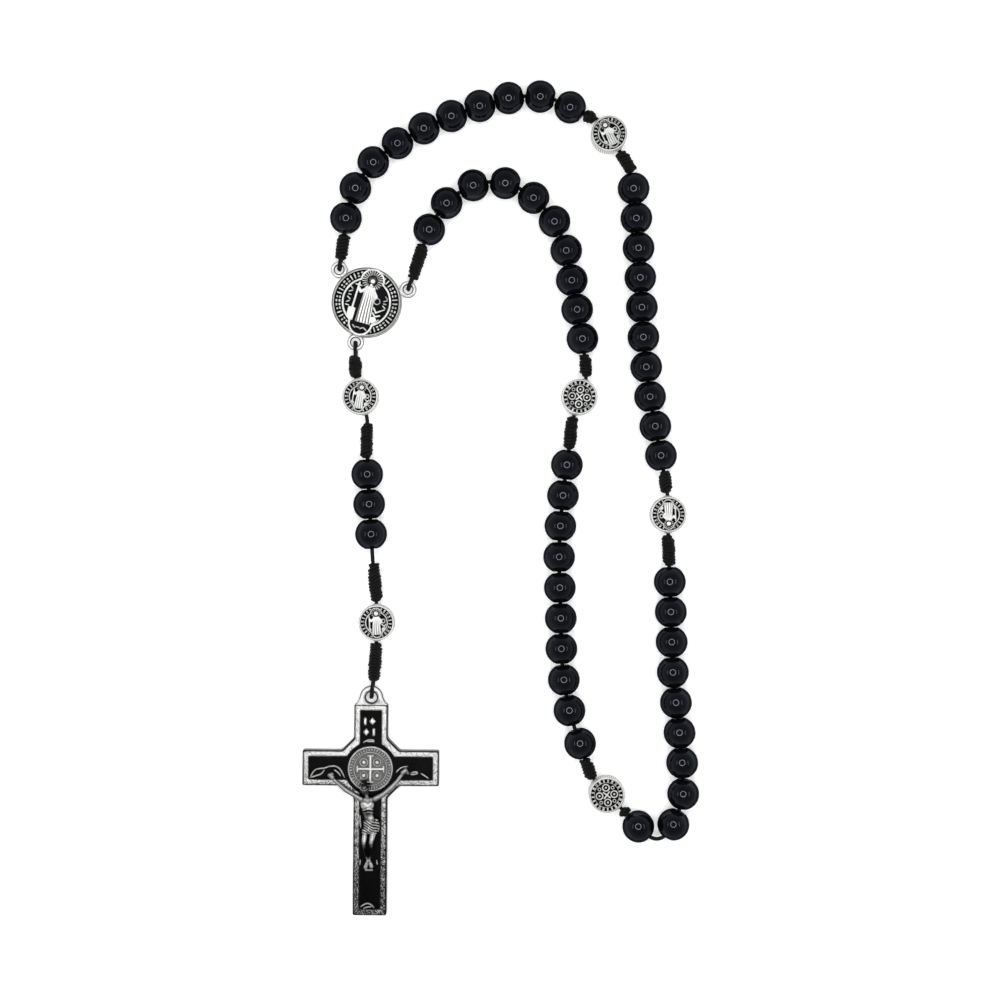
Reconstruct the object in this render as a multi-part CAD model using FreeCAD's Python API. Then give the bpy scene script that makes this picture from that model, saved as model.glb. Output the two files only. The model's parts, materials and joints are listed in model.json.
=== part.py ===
"""Rosary lying flat: a five-decade loop of beads, a centre medal and a drop with a crucifix.

Millimetres, +Z up, the surface it lies on at Z = 0. The crucifix lies towards -Y and the
loop's top towards +Y. The origin is the middle of the whole object's footprint.
"""
import math
import os

import FreeCAD
import Part
from FreeCAD import Vector

# ---- driving dimensions -------------------------------------------------------------
BEAD_RADIUS = 4.0            # 8 mm round beads
BEAD_LENGTH = 7.3            # between the small flats round the bore
BEAD_BORE_RADIUS = 1.0
BEAD_COUNT = 10              # beads in a decade
CORD_RADIUS = 0.5
STRAND_Z = BEAD_RADIUS       # the strand's axis, where the beads lie on the surface

KNOT_RADIUS = 1.6
KNOT_ROUND = 1.1             # rounding of a knot's two ends
KNOT_ROUND_SHARE = 0.4       # and its largest share of a short knot's length
KNOT_BEAD_GAP = 0.3
ARC_SHARE = 0.45             # share of the shorter run that each arc of the cord takes
NO_TURN = math.radians(0.3)  # two runs nearer in line than this have no arc between them

MEDAL_RADIUS = 4.5           # small medal beads
MEDAL_THICKNESS = 4.0
MEDAL_EDGE = 0.6
MEDAL_BORE_RADIUS = 0.58
MOUTH = 5.0                  # from a medal bead's centre to the bend in the cord beside it
MOUTH_GAP = 0.4              # from that bend to the tip of the knot that swings there
MOUTH_CORD_GAP = 0.25        # and to the end of the cord on its other side
CORD_PROUD = 0.05            # the core cord's end stands this far out of that knot
STILL_GAP = 0.15             # from a bend that doesn't swing to its knot's tip
CORD_BEND_GAP = 0.42         # cord left out either side of a bare bend that swings

EYE_Z = 1.85                 # middle height of the centre medal's and crucifix's eyes
EYE_THICKNESS = 1.1
BIGHT_HALF_HEIGHT = 1.2      # the cord's axis passes this far over and under an eye
BIGHT_INSIDE = 1.5           # length of the bight's ends inside the knot
BIGHT_TURN = 0.1             # its corners lie this far past the hole and short of the knot
CORE_START = 2.5             # from an eye's knot tip to the start of the core cord inside
BIGHT_END_HALF_HEIGHT = 0.55

CENTRE_XY = (-33.5, 49.1)    # centre medal
CENTRE_RADIUS = 8.8
CENTRE_THICKNESS = 2.4
CENTRE_RIM = 0.7
CENTRE_FIELD_DEPTH = 0.3
CENTRE_EYE_RADIUS = 2.1
CENTRE_HOLE_RADIUS = 1.1
CENTRE_NECK_WIDTH = 2.6      # the short stems that carry the eyes
LEFT_EYE = (-40.4, 57.4)
RIGHT_EYE = (-23.1, 52.4)
BOTTOM_EYE = (-36.3, 39.15)

CROSS_HOLE = (-32.3, -50.05)
CROSS_LEAN = -0.5            # degrees about the hole, clockwise seen from above
CROSS_THICKNESS = 3.0
CROSS_BAR_WIDTH = 8.5
CROSS_TOP = -1.65            # from here down, Y is measured from the middle of the hole
CROSS_FOOT = -54.7
CROSS_ARM_Y = (-22.2, -13.25)
CROSS_ARM_REACH = 17.15
CROSS_CORNER = 3.1           # diagonal fillets between bar and arms
CROSS_BORDER = 1.45
CROSS_NECK_OVERLAP = 1.0     # the lobe's neck runs this far into the cross
CROSS_LOBE_RADIUS = 2.9
CROSS_EYE_HOLE_RADIUS = 1.35
ENAMEL_FLOOR = 2.1
ENAMEL_TOP = 2.65
ENAMEL_RING_RADIUS = 6.6     # the enamel widens to a ring round the medallion
CROSS_MEDALLION_Y = -17.8
CROSS_MEDALLION_RADIUS = 5.7
CROSS_MEDALLION_TOP = 3.5
CROSS_MEDALLION_EDGE = 0.3
TITLE_MARK = (1.0, 1.9, 0.45)            # width, height and relief of each small title mark
TITLE_MARK_X = (-0.7, 0.9)
TITLE_MARK_Y = (-5.9, -8.7)

# The figure's parts, as balls joined by cones: two centres, with Z measured from the
# enamel's top, and the two radii.
FIGURE_CHEST = ((0, -25.6, 1.5), (0, -31.2, 1.4), 1.6, 1.4)
FIGURE_PARTS = [
    ((0, -22.9, 2.05), (0, -25.2, 1.7), 1.25, 0.8),        # head and neck
    ((-1.4, -25.2, 2.1), (-9.6, -19.6, 0.8), 0.85, 0.65),  # arms
    ((1.4, -25.2, 2.1), (8.9, -18.4, 0.8), 0.85, 0.65),
    ((0, -30.8, 1.5), (0, -33.2, 1.4), 2.0, 1.5),          # loincloth
    ((-0.7, -33.0, 1.3), (-0.5, -41.8, 0.8), 1.0, 0.65),   # legs
    ((0.7, -33.0, 1.3), (0.4, -41.8, 0.8), 1.0, 0.65),
]

EYE_REACH = {"left": 2.5, "right": 2.9, "bottom": 3.7, "crucifix": 4.1}   # hole to knot tip

DROP_BEAD_COUNT = 3
DROP_BEAD_PITCH = 7.5
DROP_MIDDLE_BEND = (-33.15, 19.6)    # bare cord below the drop's first medal bead
DROP_LINE_START = (-33.45, 9.9)      # the beads slide on a straight line from here
DROP_LOWER_BEND = (-31.8, -15.8)     # to this bend, above the next knot
DROP_BEND_GAPS = (0.9, 0.5)          # from those two bends to the knots below them

# ---- routes of the cord, in the order of the strand -----------------------------------
# A loop strand runs from its eye or medal bead, through these points, to the next medal
# bead. The first point is also where its first knot ends.
MEDAL_AXES = {               # medal bead: centre, and a point its bore looks towards
    1: ((27.2, 90.75), (32.95, 82.5)),
    2: ((41.95, -4.1), (42.1, -14.0)),
    3: ((26.6, -73.95), (19.85, -67.35)),
    4: ((19.8, 25.2), (16.65, 16.8)),
    5: ((-34.8, 25.25), (-31.9, 15.7)),
    6: ((-30.75, -31.05), (-30.75, -41.05)),
}
DECADE_ROUTES = {
    1: [(-38.9, 66.0), (-38.2, 73.2), (-33.9, 82.2), (-25.6, 89.0), (-16.0, 94.0),
        (-5.6, 98.0), (6.2, 101.0), (14.6, 99.6), (20.2, 95.9)],
    2: [(33.0, 81.4), (34.3, 68.0), (35.2, 53.0), (35.9, 38.0), (37.6, 24.0), (40.2, 11.0)],
    3: [(42.3, -17.0), (42.8, -31.0), (43.1, -44.5), (45.0, -59.0), (46.1, -74.0),
        (43.9, -80.8), (41.0, -85.2), (37.4, -85.2), (33.2, -80.6)],
    4: [(17.3, 12.2), (15.8, 2.0), (14.6, -13.0), (15.2, -29.0), (15.4, -42.0),
        (17.2, -53.5), (21.3, -65.0)],
    5: [(-19.1, 63.4), (-17.0, 69.0), (-13.2, 74.2), (-8.0, 77.9), (-2.1, 79.4),
        (3.8, 78.2), (9.2, 74.6), (13.9, 69.2), (16.7, 62.0), (17.9, 54.5),
        (19.4, 46.5), (21.2, 36.5)],
}
MEDAL_BEFORE = {2: 1, 3: 2, 4: 4}      # the medal bead that a strand starts through
DECADE_EYES = {1: ("left", LEFT_EYE), 5: ("right", RIGHT_EYE)}
BEAD_GAPS = {1: 0.10, 2: 0.12, 3: 0.21, 4: 0.32, 5: 0.12}
LOOSE_BEADS = {3: {10: 0.55}, 4: {10: 0.9}}   # decade: {bead: extra gap before it}
THREADING_START = 0.1        # a bead's place is sought from this much under its length
THREADING_STEP = 0.01


# ---- geometry helpers -----------------------------------------------------------------
def raised(point, z=STRAND_Z):
    """A route point as a vector, at the strand's height unless it has its own."""
    return Vector(*point) if len(point) == 3 else Vector(point[0], point[1], z)


def unit(vector):
    return Vector(vector).normalize()


def along(start, end, distance):
    """The point at a distance from start, on the way to end."""
    return start + unit(end - start) * distance


def rounded_path(points, mouths=(), name=""):
    """Edges of straight runs joined by tangent arcs, each as large as its runs allow.

    At a medal bead's mouth the arc stays outside the bore. A named path prints its radii.
    """
    edges = []
    radii = []
    cursor = points[0]
    for before, corner, after in zip(points, points[1:], points[2:]):
        run_in, run_out = unit(corner - before), unit(after - corner)
        turn = run_in.getAngle(run_out)
        if turn < NO_TURN:
            continue
        setback = ARC_SHARE * min((corner - before).Length, (after - corner).Length)
        if corner in mouths:
            setback = MOUTH - MEDAL_RADIUS
        arc_start, arc_end = corner - run_in * setback, corner + run_out * setback
        inward = unit(run_out - run_in)
        arc_radius = setback / math.tan(turn / 2)
        radii.append(arc_radius)
        bulge = arc_radius / math.cos(turn / 2) - arc_radius
        edges.append(Part.LineSegment(cursor, arc_start).toShape())
        edges.append(Part.Arc(arc_start, corner + inward * bulge, arc_end).toShape())
        cursor = arc_end
    edges.append(Part.LineSegment(cursor, points[-1]).toShape())
    if name:
        print(f"{name}: arc radii", " ".join(f"{radius:.1f}" for radius in radii))
    return edges


def path_length(edges):
    return sum(edge.Length for edge in edges)


def place_on(edges, distance):
    """Position and direction at a distance along a path."""
    for edge in edges:
        if distance <= edge.Length or edge is edges[-1]:
            parameter = edge.getParameterByLength(min(distance, edge.Length))
            return edge.valueAt(parameter), unit(edge.tangentAt(parameter))
        distance -= edge.Length


def tube(edges, radius):
    """A round tube along a path."""
    start, direction = place_on(edges, 0)
    profile = Part.Wire(Part.Circle(start, direction, radius).toShape())
    return Part.Wire(edges).makePipeShell([profile], True, False)


def bead(position, direction):
    """A ball with two small flats and a bore along the cord."""
    half = BEAD_LENGTH / 2
    ball = Part.makeSphere(BEAD_RADIUS)
    slab = Part.makeCylinder(BEAD_RADIUS + 1, BEAD_LENGTH, Vector(0, 0, -half))
    bore = Part.makeCylinder(BEAD_BORE_RADIUS, 2 * BEAD_LENGTH, Vector(0, 0, -BEAD_LENGTH))
    solid = ball.common(slab).cut(bore)
    solid.Placement = FreeCAD.Placement(position, FreeCAD.Rotation(Vector(0, 0, 1), direction))
    return solid


def knot(start, end):
    """A barrel knot between two points: the cord's wraps, pressed on to the cord inside."""
    length = (end - start).Length
    barrel = Part.makeCylinder(KNOT_RADIUS, length)
    rims = [edge for edge in barrel.Edges if isinstance(edge.Curve, Part.Circle)]
    barrel = barrel.makeFillet(min(KNOT_ROUND, KNOT_ROUND_SHARE * length), rims)
    barrel.Placement = FreeCAD.Placement(start, FreeCAD.Rotation(Vector(0, 0, 1), end - start))
    return barrel


def bight(hole, towards, reach):
    """The cord's loop through an eye: over the ring, down the hole, back under it."""
    out = unit(towards - hole)
    up = Vector(0, 0, 1)
    over = [(reach + BIGHT_INSIDE, BIGHT_END_HALF_HEIGHT),
            (reach - BIGHT_TURN, BIGHT_HALF_HEIGHT),
            (BIGHT_TURN, BIGHT_HALF_HEIGHT)]
    under = [(distance, -height) for distance, height in reversed(over)]
    points = [hole + out * distance + up * height for distance, height in over + under]
    return tube(rounded_path(points), CORD_RADIUS)


def medal_bead(centre, towards):
    """A small round medal with its bore across it, along the cord."""
    disc = Part.makeCylinder(MEDAL_RADIUS, MEDAL_THICKNESS,
                             centre - Vector(0, 0, MEDAL_THICKNESS / 2))
    rims = [edge for edge in disc.Edges if isinstance(edge.Curve, Part.Circle)]
    disc = disc.makeFillet(MEDAL_EDGE, rims)
    direction = unit(towards - centre)
    bore = Part.makeCylinder(MEDAL_BORE_RADIUS, 4 * MEDAL_RADIUS,
                             centre - direction * 2 * MEDAL_RADIUS, direction)
    return disc.cut(bore)


# ---- places worked out from the dimensions --------------------------------------------
def medal_place(number):
    """Centre, direction of the bore, and the cord's bend on either side of a medal bead."""
    centre, towards = (raised(point) for point in MEDAL_AXES[number])
    direction = unit(towards - centre)
    return centre, direction, centre - direction * MOUTH, centre + direction * MOUTH


def contact_distance(first, second):
    """How far apart two neighbouring beads' centres are when their flats' rims just touch."""
    half_turn = first.getAngle(second) / 2
    flat_angle = math.acos(BEAD_LENGTH / 2 / BEAD_RADIUS)
    return 2 * BEAD_RADIUS * math.cos(max(0.0, flat_angle - half_turn))


def thread_beads(path, first, decade):
    """Places of a decade's beads: the first at a distance, each next one beside the last."""
    places = [place_on(path, first)]
    distance = first
    for number in range(2, BEAD_COUNT + 1):
        gap = BEAD_GAPS[decade] + LOOSE_BEADS.get(decade, {}).get(number, 0)
        distance += BEAD_LENGTH - THREADING_START
        while True:
            position, direction = place_on(path, distance)
            needed = contact_distance(places[-1][1], direction) + gap
            if (position - places[-1][0]).Length >= needed:
                break
            distance += THREADING_STEP
        places.append((position, direction))
    return places, distance


# ---- strands ---------------------------------------------------------------------------
def eye_start(hole, neighbour, reach):
    """Beside an eye: the knot's tip, the bight, and where the core cord begins inside."""
    level = Vector(neighbour.x, neighbour.y, hole.z)
    tip = along(hole, level, reach)
    return tip, bight(hole, level, reach), along(tip, neighbour, CORE_START)


def decade(number):
    """One decade's cord, knots and beads, as node name: solids."""
    name = f"decade_{number}_"
    route = [raised(point) for point in DECADE_ROUTES[number]]
    _, _, next_in, next_out = medal_place({1: 1, 2: 2, 3: 3, 4: 3, 5: 4}[number])
    nodes = {}
    if number in DECADE_EYES:
        eye_name, eye = DECADE_EYES[number]
        tip, loop, start = eye_start(raised(eye, EYE_Z), route[0], EYE_REACH[eye_name])
        points = [start] + route
        mouths = []
        knot_end = (route[0] - start).Length
        nodes[name + "eye_bight"] = [loop]
    else:
        _, _, mouth_in, mouth_out = medal_place(MEDAL_BEFORE[number])
        start = along(mouth_in, mouth_out, MOUTH_CORD_GAP)
        points = [start, mouth_out] + route
        mouths = [mouth_out]
        knot_start = (mouth_out - start).Length + STILL_GAP
        knot_end = knot_start - STILL_GAP + (route[0] - mouth_out).Length
    if number == 4:              # this strand runs on through the medal bead at its end
        points += [next_out, along(next_in, next_out, MOUTH_CORD_GAP)]
        mouths.append(next_out)
    else:
        points.append(along(next_in, route[-1], MOUTH_GAP - CORD_PROUD))
    path = rounded_path(points, mouths, name + "cord")
    length = path_length(path)
    if number == 4:
        end_tip = length - (points[-1] - next_out).Length - STILL_GAP
    else:
        end_tip = length - CORD_PROUD
    core = tube(path, CORD_RADIUS)
    if number not in DECADE_EYES:
        tip = place_on(path, knot_start)[0]
    first_bead = knot_end + KNOT_BEAD_GAP + BEAD_LENGTH / 2
    places, last_bead = thread_beads(path, first_bead, number)
    end_knot = last_bead + BEAD_LENGTH / 2 + KNOT_BEAD_GAP
    print(f"decade {number}: cord {length:.1f} mm, end knot {end_tip - end_knot:.2f} mm")
    nodes[name + "cord"] = [core]
    nodes[name + "start_knot"] = [knot(tip, place_on(path, knot_end)[0])]
    nodes[name + "end_knot"] = [knot(place_on(path, end_knot)[0], place_on(path, end_tip)[0])]
    nodes[name + "beads"] = [bead(*place) for place in places]
    return nodes


def drop():
    """The cord, knots and beads between the centre medal and the crucifix."""
    nodes = {}
    middle_bend, line_start, lower_bend = (
        raised(point) for point in (DROP_MIDDLE_BEND, DROP_LINE_START, DROP_LOWER_BEND))

    # from the bottom eye, through medal bead 5, to the middle bend
    _, _, mouth_in, mouth_out = medal_place(5)
    tip, loop, start = eye_start(raised(BOTTOM_EYE, EYE_Z), mouth_in, EYE_REACH["bottom"])
    end = along(middle_bend, mouth_out, CORD_BEND_GAP)
    mouths = [mouth_in, mouth_out]
    path = rounded_path([start] + mouths + [end], mouths, "drop_upper_cord")
    knot_end = along(mouth_in, tip, STILL_GAP)
    nodes["drop_eye_bight"] = [loop]
    nodes["drop_upper_cord"] = [tube(path, CORD_RADIUS)]
    nodes["drop_upper_knot"] = [knot(tip, knot_end)]

    # from the middle bend, through the three sliding beads, to the lower bend
    start = along(middle_bend, line_start, CORD_BEND_GAP)
    end = along(lower_bend, line_start, CORD_BEND_GAP)
    path = rounded_path([start, line_start, end], name="drop_middle_cord")
    nodes["drop_middle_cord"] = [tube(path, CORD_RADIUS)]
    nodes["drop_middle_knot"] = [
        knot(along(middle_bend, line_start, DROP_BEND_GAPS[0]), line_start)]
    direction = unit(lower_bend - line_start)
    for number in range(DROP_BEAD_COUNT):
        distance = KNOT_BEAD_GAP + BEAD_LENGTH / 2 + number * DROP_BEAD_PITCH
        nodes[f"drop_bead_{number + 1}"] = [bead(line_start + direction * distance, direction)]
    slack = (lower_bend - line_start).Length - distance - BEAD_LENGTH / 2
    print(f"drop: bare cord below the beads {slack:.2f} mm, slides along "
          f"({direction.x:.4f}, {direction.y:.4f})")

    # from the lower bend, through medal bead 6, to the crucifix's eye
    _, _, mouth_in, mouth_out = medal_place(6)
    hole = raised(CROSS_HOLE, EYE_Z)
    tip, loop, core_end = eye_start(hole, mouth_out, EYE_REACH["crucifix"])
    start = along(lower_bend, mouth_in, CORD_BEND_GAP)
    mouths = [mouth_in, mouth_out]
    path = rounded_path([start] + mouths + [core_end], mouths, "drop_lower_cord")
    nodes["crucifix_eye_bight"] = [loop]
    nodes["drop_lower_cord"] = [tube(path, CORD_RADIUS)]
    nodes["drop_lower_knot"] = [knot(along(lower_bend, mouth_in, DROP_BEND_GAPS[1]),
                                     along(mouth_in, lower_bend, STILL_GAP))]
    nodes["crucifix_knot"] = [knot(along(mouth_out, tip, STILL_GAP), tip)]
    return nodes


# ---- castings --------------------------------------------------------------------------
def centre_medal():
    """The large round medal: a rimmed disc with three ringed eyes on short necks."""
    centre = Vector(*CENTRE_XY, EYE_Z)
    bottom = centre - Vector(0, 0, CENTRE_THICKNESS / 2)
    disc = Part.makeCylinder(CENTRE_RADIUS, CENTRE_THICKNESS, bottom)
    rims = [edge for edge in disc.Edges if isinstance(edge.Curve, Part.Circle)]
    disc = disc.makeFillet(CENTRE_THICKNESS / 4, rims)
    field = Part.makeCylinder(CENTRE_RADIUS - CENTRE_RIM, CENTRE_THICKNESS,
                              centre + Vector(0, 0, CENTRE_THICKNESS / 2 - CENTRE_FIELD_DEPTH))
    medal = disc.cut(field)
    for eye in (LEFT_EYE, RIGHT_EYE, BOTTOM_EYE):
        hole = raised(eye, EYE_Z)
        half = Vector(0, 0, EYE_THICKNESS / 2)
        ring = Part.makeCylinder(CENTRE_EYE_RADIUS, EYE_THICKNESS, hole - half)
        outwards = unit(hole - centre)
        stem_start = CENTRE_RADIUS - CENTRE_RIM
        stem = Part.makeBox((hole - centre).Length - stem_start, CENTRE_NECK_WIDTH, EYE_THICKNESS,
                            Vector(0, -CENTRE_NECK_WIDTH / 2, -EYE_THICKNESS / 2))
        stem.Placement = FreeCAD.Placement(centre + outwards * stem_start,
                                           FreeCAD.Rotation(Vector(1, 0, 0), outwards))
        opening = Part.makeCylinder(CENTRE_HOLE_RADIUS, 4 * EYE_THICKNESS, hole - half * 4)
        medal = medal.fuse([ring, stem]).cut(opening)
    return [medal.removeSplitter()]


def cross_outline(inset=0.0):
    """The crucifix's outline as a face: a Latin cross with diagonal inner corners."""
    half = CROSS_BAR_WIDTH / 2 - inset
    arm_low, arm_high = CROSS_ARM_Y[0] + inset, CROSS_ARM_Y[1] - inset
    reach = CROSS_ARM_REACH - inset
    top, foot = CROSS_TOP - inset, CROSS_FOOT + inset
    corner = CROSS_CORNER
    right = [(half, top), (half, arm_high + corner), (half + corner, arm_high),
             (reach, arm_high), (reach, arm_low), (half + corner, arm_low),
             (half, arm_low - corner), (half, foot)]
    left = [(-x, y) for x, y in reversed(right)]
    outline = [Vector(x, y, 0) for x, y in right + left]
    return Part.Face(Part.makePolygon(outline + outline[:1]))


def enamel_shape(depth):
    """The panels inside the border and the ring round the medallion, from the pocket's floor."""
    panels = cross_outline(CROSS_BORDER).extrude(Vector(0, 0, depth))
    ring = Part.makeCylinder(ENAMEL_RING_RADIUS, depth, Vector(0, CROSS_MEDALLION_Y, 0))
    shape = panels.fuse(ring).removeSplitter()
    shape.translate(Vector(0, 0, ENAMEL_FLOOR))
    return shape


def capsule(start, end, start_radius, end_radius):
    """A limb: a cone between two balls."""
    start, end = Vector(*start), Vector(*end)
    length = (end - start).Length
    if abs(start_radius - end_radius) < 1e-6:
        shaft = Part.makeCylinder(start_radius, length, start, end - start)
    else:
        shaft = Part.makeCone(start_radius, end_radius, length, start, end - start)
    return shaft.fuse([Part.makeSphere(start_radius, start), Part.makeSphere(end_radius, end)])


def crucifix():
    """The crucifix's pieces, made round the middle of its eye and then laid in place."""
    up = Vector(0, 0, 1)
    plate = cross_outline().extrude(up * CROSS_THICKNESS)
    lobe = Part.makeCylinder(CROSS_LOBE_RADIUS, EYE_THICKNESS, up * (EYE_Z - EYE_THICKNESS / 2))
    neck = Part.makeBox(2 * CROSS_LOBE_RADIUS, CROSS_NECK_OVERLAP - CROSS_TOP, EYE_THICKNESS,
                        Vector(-CROSS_LOBE_RADIUS, CROSS_TOP - CROSS_NECK_OVERLAP,
                               EYE_Z - EYE_THICKNESS / 2))
    opening = Part.makeCylinder(CROSS_EYE_HOLE_RADIUS, CROSS_THICKNESS)
    pocket = enamel_shape(CROSS_THICKNESS - ENAMEL_FLOOR)
    body = plate.cut(pocket).fuse([lobe, neck]).cut(opening).removeSplitter()
    enamel = enamel_shape(ENAMEL_TOP - ENAMEL_FLOOR)
    medallion = Part.makeCylinder(CROSS_MEDALLION_RADIUS, CROSS_MEDALLION_TOP - ENAMEL_TOP,
                                  Vector(0, CROSS_MEDALLION_Y, ENAMEL_TOP))
    rims = [edge for edge in medallion.Edges
            if isinstance(edge.Curve, Part.Circle) and edge.CenterOfMass.z > ENAMEL_TOP]
    rims = [max(rims, key=lambda edge: edge.CenterOfMass.z)]
    medallion = medallion.makeFillet(CROSS_MEDALLION_EDGE, rims)

    figure = capsule(*FIGURE_CHEST).fuse([capsule(*part) for part in FIGURE_PARTS])
    figure.translate(up * ENAMEL_TOP)
    keep = Part.makeBox(2 * CROSS_ARM_REACH, -CROSS_FOOT, 2 * CROSS_THICKNESS,
                        Vector(-CROSS_ARM_REACH, CROSS_FOOT, ENAMEL_TOP))
    corpus = figure.common(keep).cut(medallion)

    width, height, relief = TITLE_MARK
    marks = [Part.makeBox(width, height, relief,
                          Vector(x - width / 2, y - height / 2, ENAMEL_TOP))
             for x in TITLE_MARK_X for y in TITLE_MARK_Y]
    nodes = {"cross_body": [body], "cross_enamel": [enamel], "cross_medallion": [medallion],
             "corpus": [corpus], "title_marks": marks}
    turn = FreeCAD.Rotation(up, CROSS_LEAN)
    place = FreeCAD.Placement(raised(CROSS_HOLE, 0), turn)
    for solids in nodes.values():
        for solid in solids:
            solid.Placement = place.multiply(solid.Placement)
    return nodes


# ---- the whole rosary --------------------------------------------------------------------
def build():
    nodes = {"centre_medal": centre_medal()}
    for number in DECADE_ROUTES:
        nodes.update(decade(number))
    for number in MEDAL_AXES:
        centre, direction, _, _ = medal_place(number)
        nodes[f"medal_bead_{number}"] = [medal_bead(centre, centre + direction)]
    nodes.update(drop())
    nodes.update(crucifix())
    return nodes


def export(nodes):
    os.makedirs("parts", exist_ok=True)
    for name, solids in nodes.items():
        shape = solids[0] if len(solids) == 1 else Part.makeCompound(solids)
        shape.exportStep(f"parts/{name}.step")
        valid = all(solid.isValid() for solid in solids)
        count = sum(len(solid.Solids) for solid in solids)
        box = shape.BoundBox
        print(f"{name}: {count} solids, valid {valid}, volume {shape.Volume:.2f}, "
              f"x {box.XMin:.2f}..{box.XMax:.2f} y {box.YMin:.2f}..{box.YMax:.2f} "
              f"z {box.ZMin:.2f}..{box.ZMax:.2f}")
    whole = Part.makeCompound([solid for solids in nodes.values() for solid in solids]).BoundBox
    print(f"whole: x {whole.XMin:.2f}..{whole.XMax:.2f} y {whole.YMin:.2f}..{whole.YMax:.2f} "
          f"z {whole.ZMin:.2f}..{whole.ZMax:.2f}")


export(build())
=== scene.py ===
import json
import math

import bmesh
import bpy
import numpy as np
from mathutils import Matrix, Vector


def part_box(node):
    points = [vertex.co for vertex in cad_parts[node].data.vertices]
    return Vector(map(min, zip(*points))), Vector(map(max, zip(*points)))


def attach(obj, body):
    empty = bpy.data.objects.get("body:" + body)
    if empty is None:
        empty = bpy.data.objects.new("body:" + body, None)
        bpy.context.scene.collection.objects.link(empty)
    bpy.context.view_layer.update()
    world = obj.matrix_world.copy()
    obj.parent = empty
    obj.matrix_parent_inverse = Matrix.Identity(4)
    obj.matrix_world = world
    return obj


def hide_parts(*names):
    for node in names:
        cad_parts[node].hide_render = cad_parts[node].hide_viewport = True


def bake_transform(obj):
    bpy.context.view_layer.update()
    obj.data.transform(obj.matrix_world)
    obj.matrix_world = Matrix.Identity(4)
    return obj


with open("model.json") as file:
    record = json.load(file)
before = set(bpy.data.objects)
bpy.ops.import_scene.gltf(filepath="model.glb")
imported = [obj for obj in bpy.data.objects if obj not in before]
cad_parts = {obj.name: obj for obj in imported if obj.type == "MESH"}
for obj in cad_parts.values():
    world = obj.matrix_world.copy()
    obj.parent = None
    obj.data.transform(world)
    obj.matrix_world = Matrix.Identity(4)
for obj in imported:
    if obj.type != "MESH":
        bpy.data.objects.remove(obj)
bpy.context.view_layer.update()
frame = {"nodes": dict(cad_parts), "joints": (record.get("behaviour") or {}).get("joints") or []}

MM = 0.001
UP = Vector((0, 0, 1))
JOINTS = {joint["name"]: joint for joint in frame["joints"]}

# ---- sizes, in metres ----
STRAND_Z = 0.004
BEAD_RADIUS = 0.004
BEAD_HALF_LENGTH = 0.00365
BEAD_BORE = 0.001
CORD_RADIUS = 0.0005
KNOT_RADIUS = 0.0016
KNOT_BEAD_GAP = 0.0003
MOUTH = 0.005                 # from a medal bead's centre to the cord's bend beside it
MOUTH_GAP = 0.0004
MOUTH_LEAD = 0.00025          # how far inside a mouth a strand begins
STILL_GAP = 0.00015
MEDAL_RADIUS = 0.0045
CENTRE_RADIUS = 0.0088
CENTRE_SPOT = (-0.0335, 0.0491)
EYE_REACH = {"left": 0.0025, "right": 0.0029, "bottom": 0.0037, "crucifix": 0.0041}
EYE_KNOT_CORE = 0.0025        # from a knot's tip at an eye to the core cord inside it
CORD_BEND_GAP = 0.00042
DROP_MIDDLE_KNOT_GAP, DROP_LOWER_KNOT_GAP = 0.0009, 0.0005
BEND_REACH = 0.0009
BIGHT_HALF = 0.0012
BIGHT_INSIDE = 0.0015
BIGHT_END_HALF = 0.00055
BIGHT_TURN = 0.0001
WRAP_RADIUS = 0.00042
WRAP_PITCH = 0.00078
WRAP_LEAN = 0.5
WRAP_STEPS = 36

# ---- camera and light ----
VIEW_WIDTH = 0.25
CAMERA_HEIGHT = 0.404
VIEW_CENTRE = (0.0, -0.0005)
SENSOR_MM = 36.0
RING_HEIGHT = 0.40
RING_RADIUS = 0.147
RING_TUBE = 0.0085
RING_STRENGTH = 18.0
SIDE_LIGHT_X = 0.35
SIDE_LIGHT_HEIGHT = 0.40
SIDE_LIGHT_SIZE = (0.02, 0.26)
SIDE_LIGHT_ENERGY = 0.10
FLOOR_HALF = 1.5
FLOOR_DROP = 0.00005
FLOOR_GLOW = 0.42
SKY_GREYS = [(0.0, 0.78), (0.3, 0.42), (0.7, 0.18)]


def joint_place(name):
    return Vector(JOINTS[name]["pos_m"])


EYES = {"left": joint_place("loop_spread"), "right": joint_place("loop_swing_right"),
        "bottom": joint_place("drop_swing"), "crucifix": joint_place("crucifix_swing")}
MIDDLE_BEND = joint_place("drop_middle_bend")
LOWER_BEND = joint_place("drop_lower_bend")


def medal_place(number):
    """The centre and the bore direction of a medal bead."""
    joint = JOINTS[f"medal_bead_{number}_spin"]
    return Vector(joint["pos_m"]), Vector(joint["axis"]).normalized()


def medal_mouths(number):
    """The cord's bends on both sides of a medal bead."""
    centre, direction = medal_place(number)
    return centre - direction * MOUTH, centre + direction * MOUTH


def make_camera():
    data = bpy.data.cameras.new("camera")
    data.sensor_width = SENSOR_MM
    data.lens = SENSOR_MM * (CAMERA_HEIGHT - STRAND_Z) / VIEW_WIDTH
    data.clip_start = 0.01
    camera = bpy.data.objects.new("camera", data)
    camera.location = (*VIEW_CENTRE, CAMERA_HEIGHT)
    bpy.context.scene.collection.objects.link(camera)
    bpy.context.scene.camera = camera


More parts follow.
